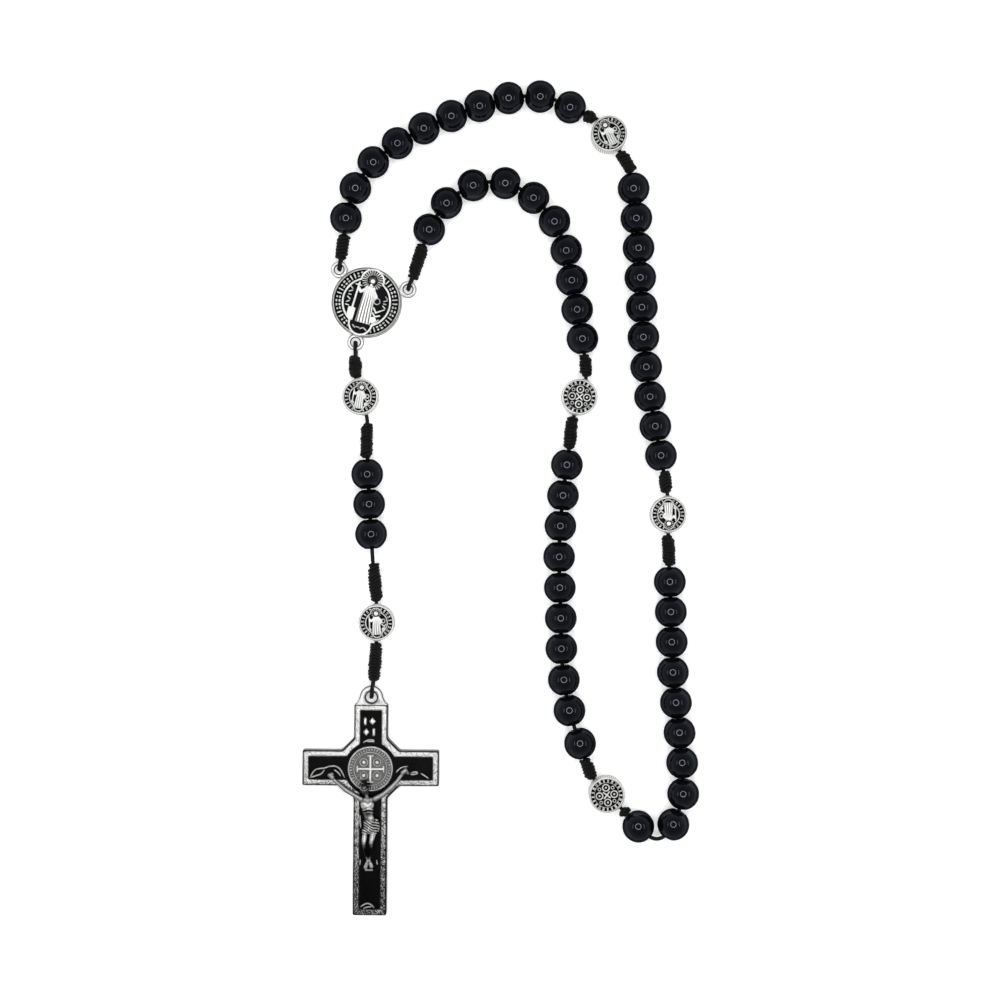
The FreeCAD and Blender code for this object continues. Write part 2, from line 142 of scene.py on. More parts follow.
# ---- cord routes, as in the CAD model ----
DECADE_ROUTES = {
    1: [(-0.0389, 0.0660), (-0.0382, 0.0732), (-0.0339, 0.0822), (-0.0256, 0.0890),
        (-0.0160, 0.0940), (-0.0056, 0.0980), (0.0062, 0.1010), (0.0146, 0.0996),
        (0.0202, 0.0959)],
    2: [(0.0330, 0.0814), (0.0343, 0.0680), (0.0352, 0.0530), (0.0359, 0.0380),
        (0.0376, 0.0240), (0.0402, 0.0110)],
    3: [(0.0423, -0.0170), (0.0428, -0.0310), (0.0431, -0.0445), (0.0450, -0.0590),
        (0.0461, -0.0740), (0.0439, -0.0808), (0.0410, -0.0852), (0.0374, -0.0852),
        (0.0332, -0.0806)],
    4: [(0.0173, 0.0122), (0.0158, 0.0020), (0.0146, -0.0130), (0.0152, -0.0290),
        (0.0154, -0.0420), (0.0172, -0.0535), (0.0213, -0.0650)],
    5: [(-0.0191, 0.0634), (-0.0170, 0.0690), (-0.0132, 0.0742), (-0.0080, 0.0779),
        (-0.0021, 0.0794), (0.0038, 0.0782), (0.0092, 0.0746), (0.0139, 0.0692),
        (0.0167, 0.0620), (0.0179, 0.0545), (0.0194, 0.0465), (0.0212, 0.0365)],
}
# Where each decade's cord begins and ends: an eye, or a medal bead's number.
STRAND_ENDS = {1: ("left", 1), 2: (1, 2), 3: (2, 3), 4: (4, 3), 5: ("right", 4)}
DROP_LINE_START = (-0.03345, 0.0099)
CORD_LENGTHS = {1: 0.0848, 2: 0.0964, 3: 0.1005, 4: 0.1117, 5: 0.0906}


def on_strand(point):
    return Vector((point[0], point[1], STRAND_Z))


def along(start, end, distance):
    return start + (end - start).normalized() * distance


def eye_start(eye, neighbour):
    """A knot's tip beside an eye, and where the core cord begins inside that knot."""
    hole = EYES[eye]
    tip = along(hole, Vector((neighbour.x, neighbour.y, hole.z)), EYE_REACH[eye])
    return tip, along(tip, neighbour, EYE_KNOT_CORE)


def decade_route(number):
    """The control points of a decade's cord, from its eye or medal bead to the next one."""
    first, last = STRAND_ENDS[number]
    route = [on_strand(point) for point in DECADE_ROUTES[number]]
    if first in EYES:
        start = [eye_start(first, route[0])[1]]
    else:
        mouth_in, mouth_out = medal_mouths(first)
        start = [along(mouth_in, mouth_out, MOUTH_LEAD), mouth_out]
    next_in, next_out = medal_mouths(last)
    if number == 4:
        return start + route + [next_out, along(next_in, next_out, MOUTH_LEAD)]
    return start + route + [along(next_in, route[-1], MOUTH_GAP)]


def link(obj):
    bpy.context.scene.collection.objects.link(obj)
    return obj


def nurbs(name, points, radius, material=None):
    """A smooth round cord through the route's control points."""
    data = bpy.data.curves.new(name, "CURVE")
    data.dimensions = "3D"
    data.bevel_depth = radius
    data.bevel_resolution = 4
    data.resolution_u = 12
    spline = data.splines.new("NURBS")
    spline.points.add(len(points) - 1)
    for control, point in zip(spline.points, points):
        control.co = (*point, 1.0)
    spline.order_u = 3
    spline.use_endpoint_u = True
    if material:
        data.materials.append(material)
    return link(bpy.data.objects.new(name, data))


def centreline(points, steps=12):
    """Points along the smooth line of a route."""
    curve = nurbs("scratch_line", points, 0.0)
    curve.data.resolution_u = steps
    mesh = bpy.data.meshes.new_from_object(curve)
    line = [vertex.co.copy() for vertex in mesh.vertices]
    bpy.data.objects.remove(curve)
    bpy.data.meshes.remove(mesh)
    return line


# ---- materials ----
def new_material(name, settings):
    """A material whose shader has these values, and its node tree."""
    material = bpy.data.materials.new(name)
    material.use_nodes = True
    for socket, value in settings.items():
        material.node_tree.nodes["Principled BSDF"].inputs[socket].default_value = value
    return material, material.node_tree


def set_shader(tree, socket, source):
    tree.links.new(source, tree.nodes["Principled BSDF"].inputs[socket])


def new_texture(tree, kind, settings):
    """A procedural texture in object space."""
    texture = tree.nodes.new(kind)
    for socket, value in settings.items():
        texture.inputs[socket].default_value = value
    tree.links.new(tree.nodes.new("ShaderNodeTexCoord").outputs["Object"],
                   texture.inputs["Vector"])
    return texture


def noise(tree, scale, detail=4.0):
    texture = new_texture(tree, "ShaderNodeTexNoise", {"Scale": scale, "Detail": detail})
    return texture.outputs["Fac"]


def ramp(tree, source, stops):
    """A colour ramp over a value: (position, grey or colour) stops."""
    node = tree.nodes.new("ShaderNodeValToRGB")
    while len(node.color_ramp.elements) < len(stops):
        node.color_ramp.elements.new(0.5)
    for element, (position, colour) in zip(node.color_ramp.elements, stops):
        element.position = position
        element.color = (colour,) * 3 + (1,) if isinstance(colour, float) else (*colour, 1)
    tree.links.new(source, node.inputs["Fac"])
    return node.outputs["Color"]


def mottle(tree, socket, scale, low, high, detail=4.0):
    """Fine noise on a socket of the shader, between two (position, value) stops."""
    set_shader(tree, socket, ramp(tree, noise(tree, scale, detail), [low, high]))


def bump(tree, height, distance, strength=1.0):
    node = tree.nodes.new("ShaderNodeBump")
    node.inputs["Distance"].default_value = distance
    node.inputs["Strength"].default_value = strength
    tree.links.new(height, node.inputs["Height"])
    set_shader(tree, "Normal", node.outputs["Normal"])


def bead_material():
    material, tree = new_material("bead_black_gloss", {
        "Metallic": 0.9, "Specular Tint": (0.15, 0.15, 0.17, 1), "Specular IOR Level": 0.2})
    mottle(tree, "Base Color", 240.0, (0.3, (0.020, 0.0215, 0.026)), (0.8, (0.031, 0.033, 0.039)))
    mottle(tree, "Roughness", 900.0, (0.3, 0.025), (0.8, 0.06), detail=6.0)
    bump(tree, noise(tree, 420.0, 2.0), 0.000003)
    return material


def cord_material():
    material, tree = new_material("cord_black_nylon", {
        "Roughness": 0.6, "Specular IOR Level": 0.16})
    wave = new_texture(tree, "ShaderNodeTexWave",
                       {"Scale": 900.0, "Distortion": 3.0, "Detail": 2.0})
    wave.wave_type = "BANDS"
    wave.bands_direction = "DIAGONAL"
    mottle(tree, "Base Color", 2500.0, (0.3, (0.0008, 0.0008, 0.0011)),
           (0.7, (0.0044, 0.0044, 0.0054)))
    bump(tree, wave.outputs["Fac"], 0.00006, 0.7)
    return material


STAIN = 0.16


def silver_material(name, dark_below, bright_above, grain, worn):
    """Antiqued cast silver: dark where the "relief" attribute is low, bright where it is high; on
    the corpus that attribute also holds painted light and shade.
    """
    material, tree = new_material(name, {"Metallic": 1.0})
    relief = tree.nodes.new("ShaderNodeAttribute")
    relief.attribute_name = "relief"
    stain = tree.nodes.new("ShaderNodeMath")
    stain.operation = "MULTIPLY_ADD"
    tree.links.new(noise(tree, 1400.0, 5.0), stain.inputs[0])
    stain.inputs[1].default_value = STAIN
    tree.links.new(relief.outputs["Fac"], stain.inputs[2])
    stops = [(dark_below, (0.006, 0.0062, 0.0066)),
             (0.5 * (dark_below + bright_above), (0.17, 0.17, 0.166)),
             (bright_above, (worn, worn, worn * 0.985))]
    set_shader(tree, "Base Color", ramp(tree, stain.outputs[0], [
        (position + STAIN / 2, colour) for position, colour in stops]))
    mottle(tree, "Roughness", 2600.0, (0.3, 0.34), (0.75, 0.56), detail=6.0)
    bump(tree, noise(tree, grain), 0.00004, 0.6)
    return material


def enamel_material():
    material, tree = new_material("cross_black_enamel", {"Specular IOR Level": 0.03})
    mottle(tree, "Base Color", 300.0, (0.3, (0.0003, 0.0003, 0.0005)),
           (0.8, (0.0014, 0.0016, 0.0026)))
    mottle(tree, "Roughness", 700.0, (0.3, 0.24), (0.8, 0.40))
    bump(tree, noise(tree, 260.0, 2.0), 0.00003, 0.3)
    return material


def glowing(name, base, strength, **settings):
    """A plain material that gives off white light."""
    return new_material(name, {"Base Color": (base, base, base, 1), "Emission Strength": strength,
                               "Emission Color": (1, 1, 1, 1), **settings})[0]


BEAD = bead_material()
CORD = cord_material()
SILVER = silver_material("medal_antique_silver", 0.26, 0.56, 3000.0, 0.66)
CROSS_SILVER = silver_material("cross_antique_silver", 0.26, 0.82, 1500.0, 0.54)
MEDALLION_SILVER = silver_material("medallion_worn_silver", 0.22, 0.75, 2200.0, 0.52)
ENAMEL = enamel_material()


# ---- mesh helpers ----
def mesh_data(name, verts, faces, material, relief=None):
    mesh = bpy.data.meshes.new(name)
    mesh.from_pydata(np.asarray(verts, float).tolist(), [], faces)
    finish_mesh(mesh, material, relief)
    mesh.validate()
    return mesh


def finish_mesh(mesh, material, relief):
    """A finish, smooth shading, and the worn and dark places of a cast piece; on the corpus these
    values also hold painted light and shade.
    """
    mesh.materials.append(material)
    mesh.polygons.foreach_set("use_smooth", [True] * len(mesh.polygons))
    if relief is not None:
        attribute = mesh.attributes.new("relief", "FLOAT", "POINT")
        attribute.data.foreach_set("value", np.asarray(relief, np.float32))


def new_object(name, data):
    return link(bpy.data.objects.new(name, data))


def mesh_object(name, *shape):
    return new_object(name, mesh_data(name, *shape))


def circle(count):
    """Even angles round a circle."""
    return np.arange(count) * 2 * math.pi / count


def grid_faces(rows, columns, closed=True):
    """Quads over rows of vertices; a closed grid joins each row's end to its start."""
    faces = []
    for row in range(rows - 1):
        for k in range(columns if closed else columns - 1):
            a, b = row * columns + k, row * columns + (k + 1) % columns
            faces.append((a, b, b + columns, a + columns))
    return faces


def capped_grid(rows, columns):
    """The faces of a closed tube of rows, with a face over each end."""
    last = (rows - 1) * columns
    return grid_faces(rows, columns) + [tuple(range(columns))[::-1],
                                        tuple(range(last, last + columns))]


def join_parts(parts):
    """Several (vertices, faces) as one."""
    faces, offset = [], 0
    for verts, part_faces in parts:
        faces += [tuple(i + offset for i in face) for face in part_faces]
        offset += len(verts)
    return np.concatenate([np.asarray(verts, float) for verts, _ in parts]), faces


def place(obj, position, direction=UP, spin=0.0):
    """Lays a piece made round +Z at a position, turned to a direction."""
    turn = UP.rotation_difference(direction).to_matrix().to_4x4()
    obj.matrix_world = Matrix.Translation(position) @ turn @ Matrix.Rotation(spin, 4, "Z")
    return obj


def finish_piece(obj, body, slot, *nodes):
    """Rides on a body and stands for CAD nodes, whose own meshes it hides."""
    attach(obj, body)
    if nodes:
        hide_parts(*nodes)
    return obj


def evenly(line, step):
    """A line's points again, at even distances."""
    spots = np.array([tuple(point) for point in line])
    lengths = np.concatenate([[0], np.cumsum(np.linalg.norm(np.diff(spots, axis=0), axis=1))])
    even = np.linspace(0, lengths[-1], max(int(lengths[-1] / step), 4) + 1)
    return np.stack([np.interp(even, lengths, spots[:, axis]) for axis in range(3)], axis=1)


def sweep(line, reach, sides):
    """A tube along a line, whose reach may differ at each point and each side."""
    tangents = np.gradient(line, axis=0)
    tangents /= np.linalg.norm(tangents, axis=1)[:, None]
    side = np.cross(tangents[0], (0.31, 0.17, 0.93))
    across = []
    for tangent in tangents:
        side = side - tangent * side.dot(tangent)
        side /= np.linalg.norm(side)
        across.append(side)
    across = np.array(across)
    over = np.cross(tangents, across)
    angle = circle(sides)
    verts = (line[:, None, :] + across[:, None, :] * (reach * np.cos(angle))[..., None]
             + over[:, None, :] * (reach * np.sin(angle))[..., None])
    return verts.reshape(-1, 3), capped_grid(len(line), sides)


def twisted_cord(line, radius, step=0.00014, lay=0.0019, sides=18):
    """Vertices and faces of a three-ply twisted cord along a line, closed at both ends."""
    line = evenly(line, step)
    turn = np.arange(len(line))[:, None] * 2 * math.pi * step / lay
    lobe = np.abs(np.cos(1.5 * (circle(sides)[None, :] - turn)))
    return sweep(line, radius * (0.80 + 0.20 * lobe ** 0.7), sides)


def rings_mesh(rows, sides, unit=MM):
    """A closed solid from (radii, heights, relief) rows round Z, top first, with pointed ends."""
    angle = circle(sides)
    verts, relief = [], []
    for radius, height, value in rows:
        radius = np.broadcast_to(radius, angle.shape)
        verts.append(np.stack([radius * np.cos(angle), radius * np.sin(angle),
                               np.broadcast_to(height, angle.shape)], axis=1))
        relief.append(np.broadcast_to(value, angle.shape))
    verts, relief = np.concatenate(verts), np.concatenate(relief)
    first, last = len(verts), len(verts) + 1
    base = (len(rows) - 1) * sides
    faces = grid_faces(len(rows), sides)
    faces += [(first, (k + 1) % sides, k) for k in range(sides)]
    faces += [(last, base + k, base + (k + 1) % sides) for k in range(sides)]
    ends = [(0, 0, verts[:sides, 2].mean()), (0, 0, verts[-sides:, 2].mean())]
    return (np.concatenate([verts, ends]) * unit, [face[::-1] for face in faces],
            np.concatenate([relief, [relief[0], relief[-1]]]))


def lathe(profile, sides):
    """A ring from a closed (radius, height) profile turned round Z."""
    verts = [(r * math.cos(t), r * math.sin(t), h) for t in circle(sides) for r, h in profile]
    count = len(profile)
    return verts, [(k * count + i, (k + 1) % sides * count + i,
                    (k + 1) % sides * count + (i + 1) % count, k * count + (i + 1) % count)
                   for k in range(sides) for i in range(count)]


# ---- relief drawing, in millimetres ----
SOFT = 0.09


def smooth(value):
    value = np.clip(value, 0, 1)
    return value * value * (3 - 2 * value)


def inside(depth):
    """1 inside an outline and 0 outside, for a depth in mm that is negative outside."""
    return smooth(depth / SOFT + 0.5)


def stroke(x, y, points, width):
    """A raised line along a row of points."""
    nearest = np.full(x.shape, np.inf)
    for (ax, ay), (bx, by) in zip(points, points[1:]):
        dx, dy = bx - ax, by - ay
        t = np.clip(((x - ax) * dx + (y - ay) * dy) / (dx * dx + dy * dy), 0, 1)
        nearest = np.minimum(nearest, np.hypot(x - ax - t * dx, y - ay - t * dy))
    return inside(width / 2 - nearest)


def strokes(x, y, *lines):
    """Raised lines, each with its points, its width and its height."""
    return highest(*(stroke(x, y, points, width) * height for points, width, height in lines))


def disc(x, y, centre, radius):
    return inside(radius - np.hypot(x - centre[0], y - centre[1]))


def discs(x, y, *spots):
    """Raised discs, each with its centre, its radius and its height."""
    return highest(*(disc(x, y, centre, radius) * height for centre, radius, height in spots))


def ring(x, y, centre, radius, width):
    return inside(width / 2 - np.abs(np.hypot(x - centre[0], y - centre[1]) - radius))


def highest(*layers):
    return np.maximum.reduce(layers)


def round_the_middle(reach, count, part=0.0):
    """Spots at even angles round the middle."""
    return [(reach * math.cos(angle), reach * math.sin(angle))
            for angle in ((k + part) * 2 * math.pi / count for k in range(count))]


def rays(x, y, centre, inner, outer, count):
    """Rays round a centre, as on a halo."""
    r = np.hypot(x - centre[0], y - centre[1])
    wave = np.cos(np.arctan2(y - centre[1], x - centre[0]) * count)
    return inside(r - inner) * inside(outer - r) * smooth(wave + 0.5)


def band_marks(x, y, radius, height, count):
    """Short bars and dots round a band: an ornament that says nothing."""
    out = np.hypot(x, y) - radius
    turn = np.arctan2(y, x) / (2 * math.pi) * count
    number = np.floor(turn)
    width = 2 * math.pi * radius / count
    across = np.abs(turn - number - 0.5) * width
    kind = np.mod(number * number + number, 5)
    bar = inside(0.17 * width - across) * inside(height / 2 - np.abs(out))
    pair = (inside(0.30 * width - across)
            * inside(0.17 * height - np.abs(np.abs(out) - 0.3 * height)))
    dot = inside(0.26 * width - np.hypot(across, out - 0.24 * height))
    foot = inside(0.32 * width - across) * inside(0.14 * height - np.abs(out + 0.3 * height))
    return np.where(kind == 0, bar, np.where(kind == 1, pair, np.maximum(dot, foot)))


def robe(a, b, top, bottom, top_half, bottom_half, folds):
    """A long robe from shoulders to foot, widening, with folds down its length."""
    share = np.clip((top - b) / (top - bottom), 0, 1)
    half = top_half + (bottom_half - top_half) * share ** 0.8
    shape = inside(half - np.abs(a)) * inside(top - b) * inside(b - bottom)
    fold = np.abs(np.sin(folds * math.pi / 2 * a / half + 0.5 * np.sin(2.6 * share)))
    depth = 0.25 + 0.6 * smooth(2.2 * share)
    return shape * (1 - depth * (1 - smooth(fold * 1.5 + 0.05)))


def lines_of_marks(a, b, columns, rows, width):
    """Rows of short strokes beside a figure."""
    marks = []
    for i, column in enumerate(columns):
        for j, row in enumerate(rows):
            lean = 0.22 * ((i + 2 * j) % 3 - 1)
            size = 0.30 + 0.08 * ((i + j) % 2)
            marks.append(([(column - size, row - lean), (column + size, row + lean)], width, 1))
    return strokes(a, b, *marks)


def keyhole_depth(x, y, radius, lobe, bulge):
    """How deep a spot lies inside a round frame with a lobe above and below."""
    return highest(radius - np.hypot(x, y), lobe - np.hypot(x, y - bulge),
                   lobe - np.hypot(x, y + bulge))


CENTRE_TURN = math.radians(16.5)


def centre_relief(x, y):
    """The centre medal's face: rim, marked band, keyhole frame, and a robed figure with a staff."""
    c, s = math.cos(CENTRE_TURN), math.sin(CENTRE_TURN)
    a, b = x * c - y * s, x * s + y * c
    r = np.hypot(x, y)
    depth = keyhole_depth(a, b, 5.95, 2.85, 5.5)
    halo = (0.0, 5.6)
    figure = highest(
        rays(a, b, halo, 1.3, 2.6, 24) * inside(b - 3.2),
        robe(a + 0.05 * (b - 4), b, 3.95, -5.3, 1.25, 1.95, 5),
        discs(a, b, (halo, 1.05, 0.3), ((0.1, 5.45), 0.55, 0.95), ((0.0, 4.35), 0.4, 0.9),
              ((2.8, -3.9), 0.85, 0.8)),
        strokes(a, b,
                ([(-1.0, 3.2), (-2.1, 2.2), (-2.75, 2.9)], 0.75, 0.8),       # arms
                ([(1.0, 3.2), (2.0, 1.9), (1.5, 0.9)], 0.85, 0.8),
                ([(-3.0, 4.3), (-3.05, -2.3)], 0.5, 1),                      # staff
                ([(-3.75, 3.7), (-2.25, 3.7)], 0.36, 1),
                ([(2.2, -0.9), (3.0, -1.9), (4.0, -1.2)], 0.42, 1),          # cup
                ([(2.3, -2.2), (3.0, -2.9), (4.1, -2.4)], 0.42, 1),
                ([(2.9, -4.9), (4.1, -3.5)], 0.34, 1)),                      # bird's tail
        ring(a, b, (2.5, 0.9), 0.75, 0.22),
        inside(0.95 - np.abs(a + 3.1)) * inside(1.6 - np.abs(b + 3.7)) * 0.8,
        lines_of_marks(a, b, (-4.55,), (2.6, 1.7, 0.8, -0.1, -1.0, -1.9), 0.3) * 0.85,
        lines_of_marks(a, b, (4.55,), (2.4, 1.6, 0.8, 0.0, -0.8), 0.3) * 0.85,
        lines_of_marks(a, b, (-1.4, -0.4, 0.6, 1.5), (-6.6,), 0.3) * 0.85)
    band = inside(-depth - 0.3) * inside(8.1 - r)
    return highest(inside(r - 8.15) * (1 - 0.6 * inside(r - 8.42)),
                   inside(0.25 - np.abs(depth)) * 0.95,
                   band * band_marks(x, y, 7.15, 1.3, 46) * 0.95, figure * inside(depth - 0.25))


def figure_relief(x, y):
    """A small medal's face: a robed figure in a keyhole frame inside a marked band."""
    r = np.hypot(x, y)
    depth = keyhole_depth(x, y, 2.7, 1.3, 2.35)
    figure = highest(
        robe(x, y, 1.5, -3.0, 0.75, 1.2, 4), rays(x, y, (0, 2.3), 0.75, 1.2, 14) * 0.8,
        discs(x, y, ((0, 2.3), 0.55, 1), ((-1.8, -1.7), 0.5, 0.85), ((1.75, -1.7), 0.52, 0.9)),
        strokes(x, y, ([(-0.5, 1.2), (-1.3, 0.45), (-1.6, 0.9)], 0.5, 1),
                ([(0.5, 1.2), (1.25, 0.4), (0.95, -0.2)], 0.5, 1),
                ([(-1.75, 1.6), (-1.75, -1.5)], 0.32, 1),
                ([(1.35, -0.5), (1.9, -1.0), (2.3, -0.5)], 0.3, 1)),
        ring(x, y, (1.7, 0.35), 0.45, 0.26))
    band = inside(-depth - 0.2) * inside(3.95 - r)
    return highest(inside(r - 4.0), inside(0.14 - np.abs(depth)),
                   band * band_marks(x, y, 3.42, 0.8, 24) * 0.95, figure * inside(depth - 0.2))


def scroll_relief(x, y):
    """A small medal's back: a cross between four scrolls inside a ticked band."""
    r = np.hypot(x, y)
    scrolls = [highest(disc(x, y, spot, 0.26), ring(x, y, spot, 0.82, 0.3) * inside(3.0 - r))
               for spot in round_the_middle(1.85, 4)]
    loops = [ring(x, y, spot, 0.36, 0.2) * 0.9 for spot in round_the_middle(2.35, 4, 0.5)]
    return highest(inside(r - 3.98), band_marks(x, y, 3.5, 0.75, 21) * 0.95,
                   ring(x, y, (0, 0), 3.08, 0.16) * 0.55, *scrolls, *loops,
                   strokes(x, y, ([(-0.75, -0.75), (0.75, 0.75)], 0.34, 1),
                           ([(-0.75, 0.75), (0.75, -0.75)], 0.34, 1)))


def medallion_relief(x, y):
    """The crucifix's medallion: a plain cross and four ringed bosses inside a marked band."""
    bosses = [highest(ring(x, y, spot, 0.95, 0.18) * 0.85, disc(x, y, spot, 0.4) * 0.8)
              for spot in round_the_middle(2.35, 4, 0.5)]
    bars = [([(-3.3, 0), (3.3, 0)], 0.5, 0.9), ([(0, -3.3), (0, 3.3)], 0.5, 0.9)]
    for tip_x, tip_y in round_the_middle(3.3, 4):
        across = np.array([-tip_y, tip_x]) * (0.65 / 3.3)
        bars.append(([(tip_x, tip_y) - across, (tip_x, tip_y) + across], 0.4, 0.9))
    height = highest(0.36 + 0.64 * inside(np.hypot(x, y) - 5.3),
                     band_marks(x, y, 4.8, 0.62, 44) * 0.85,
                     ring(x, y, (0, 0), 4.15, 0.16) * 0.9, *bosses, strokes(x, y, *bars))
    # Painted shade: a patch round the figure's head is made darker, and also set lower.
    return height * (1 - 0.4 * smooth(1.9 - np.hypot(x + 1.3, y + 3.9)))


def face_rows(relief, radius, rings, sides, top, depth, upwards=True):
    """Rows of a relief face, from its middle to its edge."""
    angle = circle(sides)
    rows = []
    for r in np.linspace(radius / rings, radius, rings):
        x, y = r * np.cos(angle), r * np.sin(angle)
        height = relief(x if upwards else -x, y)
        drop = depth * (1 - height)
        rows.append((r, top - drop if upwards else top + drop, height))
    return rows


# ---- cords ----
def make_line(name, body, node, route):
    """A cord, from its exit to the next medal bead."""
    cord = nurbs(name, route, CORD_RADIUS, CORD)
    finish_piece(cord, body, "cord", node)


def make_cords():
    """The strand's cord in its real stretches, from each eye or medal bead to the next."""
    for number, length in CORD_LENGTHS.items():
        make_line(f"decade_{number}_cord_line", f"decade_{number}", f"decade_{number}_cord",
                  decade_route(number))
    line_start = on_strand(DROP_LINE_START)
    make_line("drop_middle_cord_line", "drop_middle", "drop_middle_cord",
              [along(MIDDLE_BEND, line_start, CORD_BEND_GAP), line_start,
               along(LOWER_BEND, line_start, CORD_BEND_GAP)])


def cord_piece(name, points):
    """A short twisted cord along a smooth line through a few control points."""
    return mesh_object(name, *twisted_cord(centreline(points), CORD_RADIUS), CORD)


def make_short_cords():
    """The drop's two short stretches through medal beads, and the loops through the eyes."""
    top_in, top_out = medal_mouths(5)
    low_in, low_out = medal_mouths(6)
    for body, points in (
            ("drop_upper", [eye_start("bottom", top_in)[1], top_in, top_out,
                            along(MIDDLE_BEND, top_out, CORD_BEND_GAP)]),
            ("drop_lower", [along(LOWER_BEND, low_in, CORD_BEND_GAP), low_in, low_out,
                            eye_start("crucifix", low_out)[1]])):
        finish_piece(cord_piece(body + "_cord_line", points), body, "cord", body + "_cord")
    for eye, body, node, neighbour in (
            ("left", "decade_1", "decade_1_eye_bight", on_strand(DECADE_ROUTES[1][0])),
            ("right", "decade_5", "decade_5_eye_bight", on_strand(DECADE_ROUTES[5][0])),
            ("bottom", "drop_upper", "drop_eye_bight", top_in),
            ("crucifix", "drop_lower", "crucifix_eye_bight", low_out)):
        hole, reach = EYES[eye], EYE_REACH[eye]
        out = (Vector((neighbour.x, neighbour.y, hole.z)) - hole).normalized()
        side = [(reach + BIGHT_INSIDE, BIGHT_END_HALF), (reach - BIGHT_TURN, BIGHT_HALF),
                (0.5 * reach, BIGHT_HALF), (BIGHT_TURN, BIGHT_HALF), (BIGHT_TURN, 0.4 * BIGHT_HALF)]
        loop = side + [(distance, -height) for distance, height in reversed(side)]
        points = [hole + out * distance + UP * height for distance, height in loop]
        finish_piece(cord_piece(node + "_line", points), body, "cord", node)


def bend_piece(name, before, bend, after):
    """The bare cord at a bend, and its two ends."""
    points = [along(bend, before, BEND_REACH), bend, along(bend, after, BEND_REACH)]
    return cord_piece(name, points), points[0], points[2]


def make_bends():
    """The bare cord at the bends that swing, baked in place at rest; only the cord at the third
    medal bead's bend rides on a body, the third decade.
    """
    line_start = on_strand(DROP_LINE_START)
    bends = [(f"medal_bead_{number}_bend", f"decade_{before}", f"decade_{after}",
              on_strand(DECADE_ROUTES[before][-1]), *medal_mouths(number))
             for number, before, after in ((1, 1, 2), (2, 2, 3), (4, 5, 4))]
    bends += [("drop_middle_bend_cord", "drop_upper", "drop_middle",
               medal_mouths(5)[1], MIDDLE_BEND, line_start),
              ("drop_lower_bend_cord", "drop_middle", "drop_lower",
               line_start, LOWER_BEND, medal_mouths(6)[0])]
    for name, first, second, before, bend, after in bends:
        piece, start, end = bend_piece(name, before, bend, after)
        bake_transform(piece)
    back = on_strand(DECADE_ROUTES[3][-1])
    finish_piece(bend_piece("medal_bead_3_bend", back, *medal_mouths(3))[0], "decade_3", "cord")


def knot_mesh(start, end, seed):
    """A barrel knot: slanting wraps of cord round the strand, drawn in at both ends."""
    length = (end - start).length
    wraps = max(round((length - 2 * WRAP_RADIUS) / WRAP_PITCH), 1)
    steps = int(wraps * WRAP_STEPS) + 1
    turn = np.linspace(0, wraps * 2 * math.pi, steps)
    share = np.linspace(0, 1, steps)
    rng = np.random.default_rng(seed)
    wobble = np.interp(turn, np.linspace(0, turn[-1], 2 * wraps + 2),
                       rng.uniform(-1, 1, 2 * wraps + 2))
    ends = smooth(np.minimum(share, 1 - share) * wraps / 0.6)
    reach = (KNOT_RADIUS - WRAP_RADIUS + 0.00004) * (0.66 + 0.34 * ends) + 0.00014 * wobble
    lean = WRAP_LEAN * reach * np.cos(turn) * ends
    height = WRAP_RADIUS + share * (length - 2 * WRAP_RADIUS) + lean
    height = np.clip(height, WRAP_RADIUS, length - WRAP_RADIUS)
    line = np.stack([reach * np.cos(turn), reach * np.sin(turn), height], axis=1)
    core = [(0.0006, length, 0), (0.0011, length - 0.0003, 0), (0.0010, 0.0003, 0), (0.0006, 0, 0)]
    return join_parts([twisted_cord(line, WRAP_RADIUS, step=0.00016, sides=12),
                       rings_mesh(core, 16, unit=1)[:2]])


def make_knot(name, body, start, end):
    seed = sum(name.encode())
    obj = mesh_object(name + "_wraps", *knot_mesh(start, end, seed), CORD)
    place(obj, start, (end - start).normalized(), spin=seed)
    return finish_piece(obj, body, "cord", name)


# ---- beads ----
def bead_data():
    """A polished ball with two small flats and a softened bore."""
    flat = math.acos(BEAD_HALF_LENGTH / BEAD_RADIUS)
    angles = np.linspace(flat + 0.03, math.pi - flat - 0.03, 56)
    outer = [(BEAD_RADIUS * math.sin(t), BEAD_RADIUS * math.cos(t)) for t in angles]
    top = [(BEAD_BORE, BEAD_HALF_LENGTH - 0.00012),
           (BEAD_BORE + 0.00005, BEAD_HALF_LENGTH - 0.00003),
           (BEAD_BORE + 0.00015, BEAD_HALF_LENGTH), (outer[0][0] - 0.00012, BEAD_HALF_LENGTH)]
    profile = top + outer + [(r, -h) for r, h in reversed(top)]
    return mesh_data("bead_shape", *lathe(profile, 96), BEAD)


def bead_places(node):
    """Centre and bore direction of each ball in a CAD node."""
    mesh = bmesh.new()
    mesh.from_mesh(frame["nodes"][node].data)
    bmesh.ops.remove_doubles(mesh, verts=mesh.verts, dist=1e-6)
    places, seen = [], set()
    for first in mesh.verts:
        if first in seen:
            continue
        group, waiting = [], [first]
        seen.add(first)
        while waiting:
            vertex = waiting.pop()
            group.append(tuple(vertex.co))
            for edge in vertex.link_edges:
                other = edge.other_vert(vertex)
                if other not in seen:
                    seen.add(other)
                    waiting.append(other)
        group = np.array(group)
        centre = (group.min(0) + group.max(0)) / 2
        offsets = group - centre
        mouths = offsets[np.linalg.norm(offsets, axis=1) < 0.5 * (BEAD_RADIUS + math.hypot(
            BEAD_HALF_LENGTH, BEAD_BORE))]
        direction = np.linalg.svd(mouths, full_matrices=False)[2][0]
        places.append((Vector(centre), Vector(direction)))
    mesh.free()
    return places


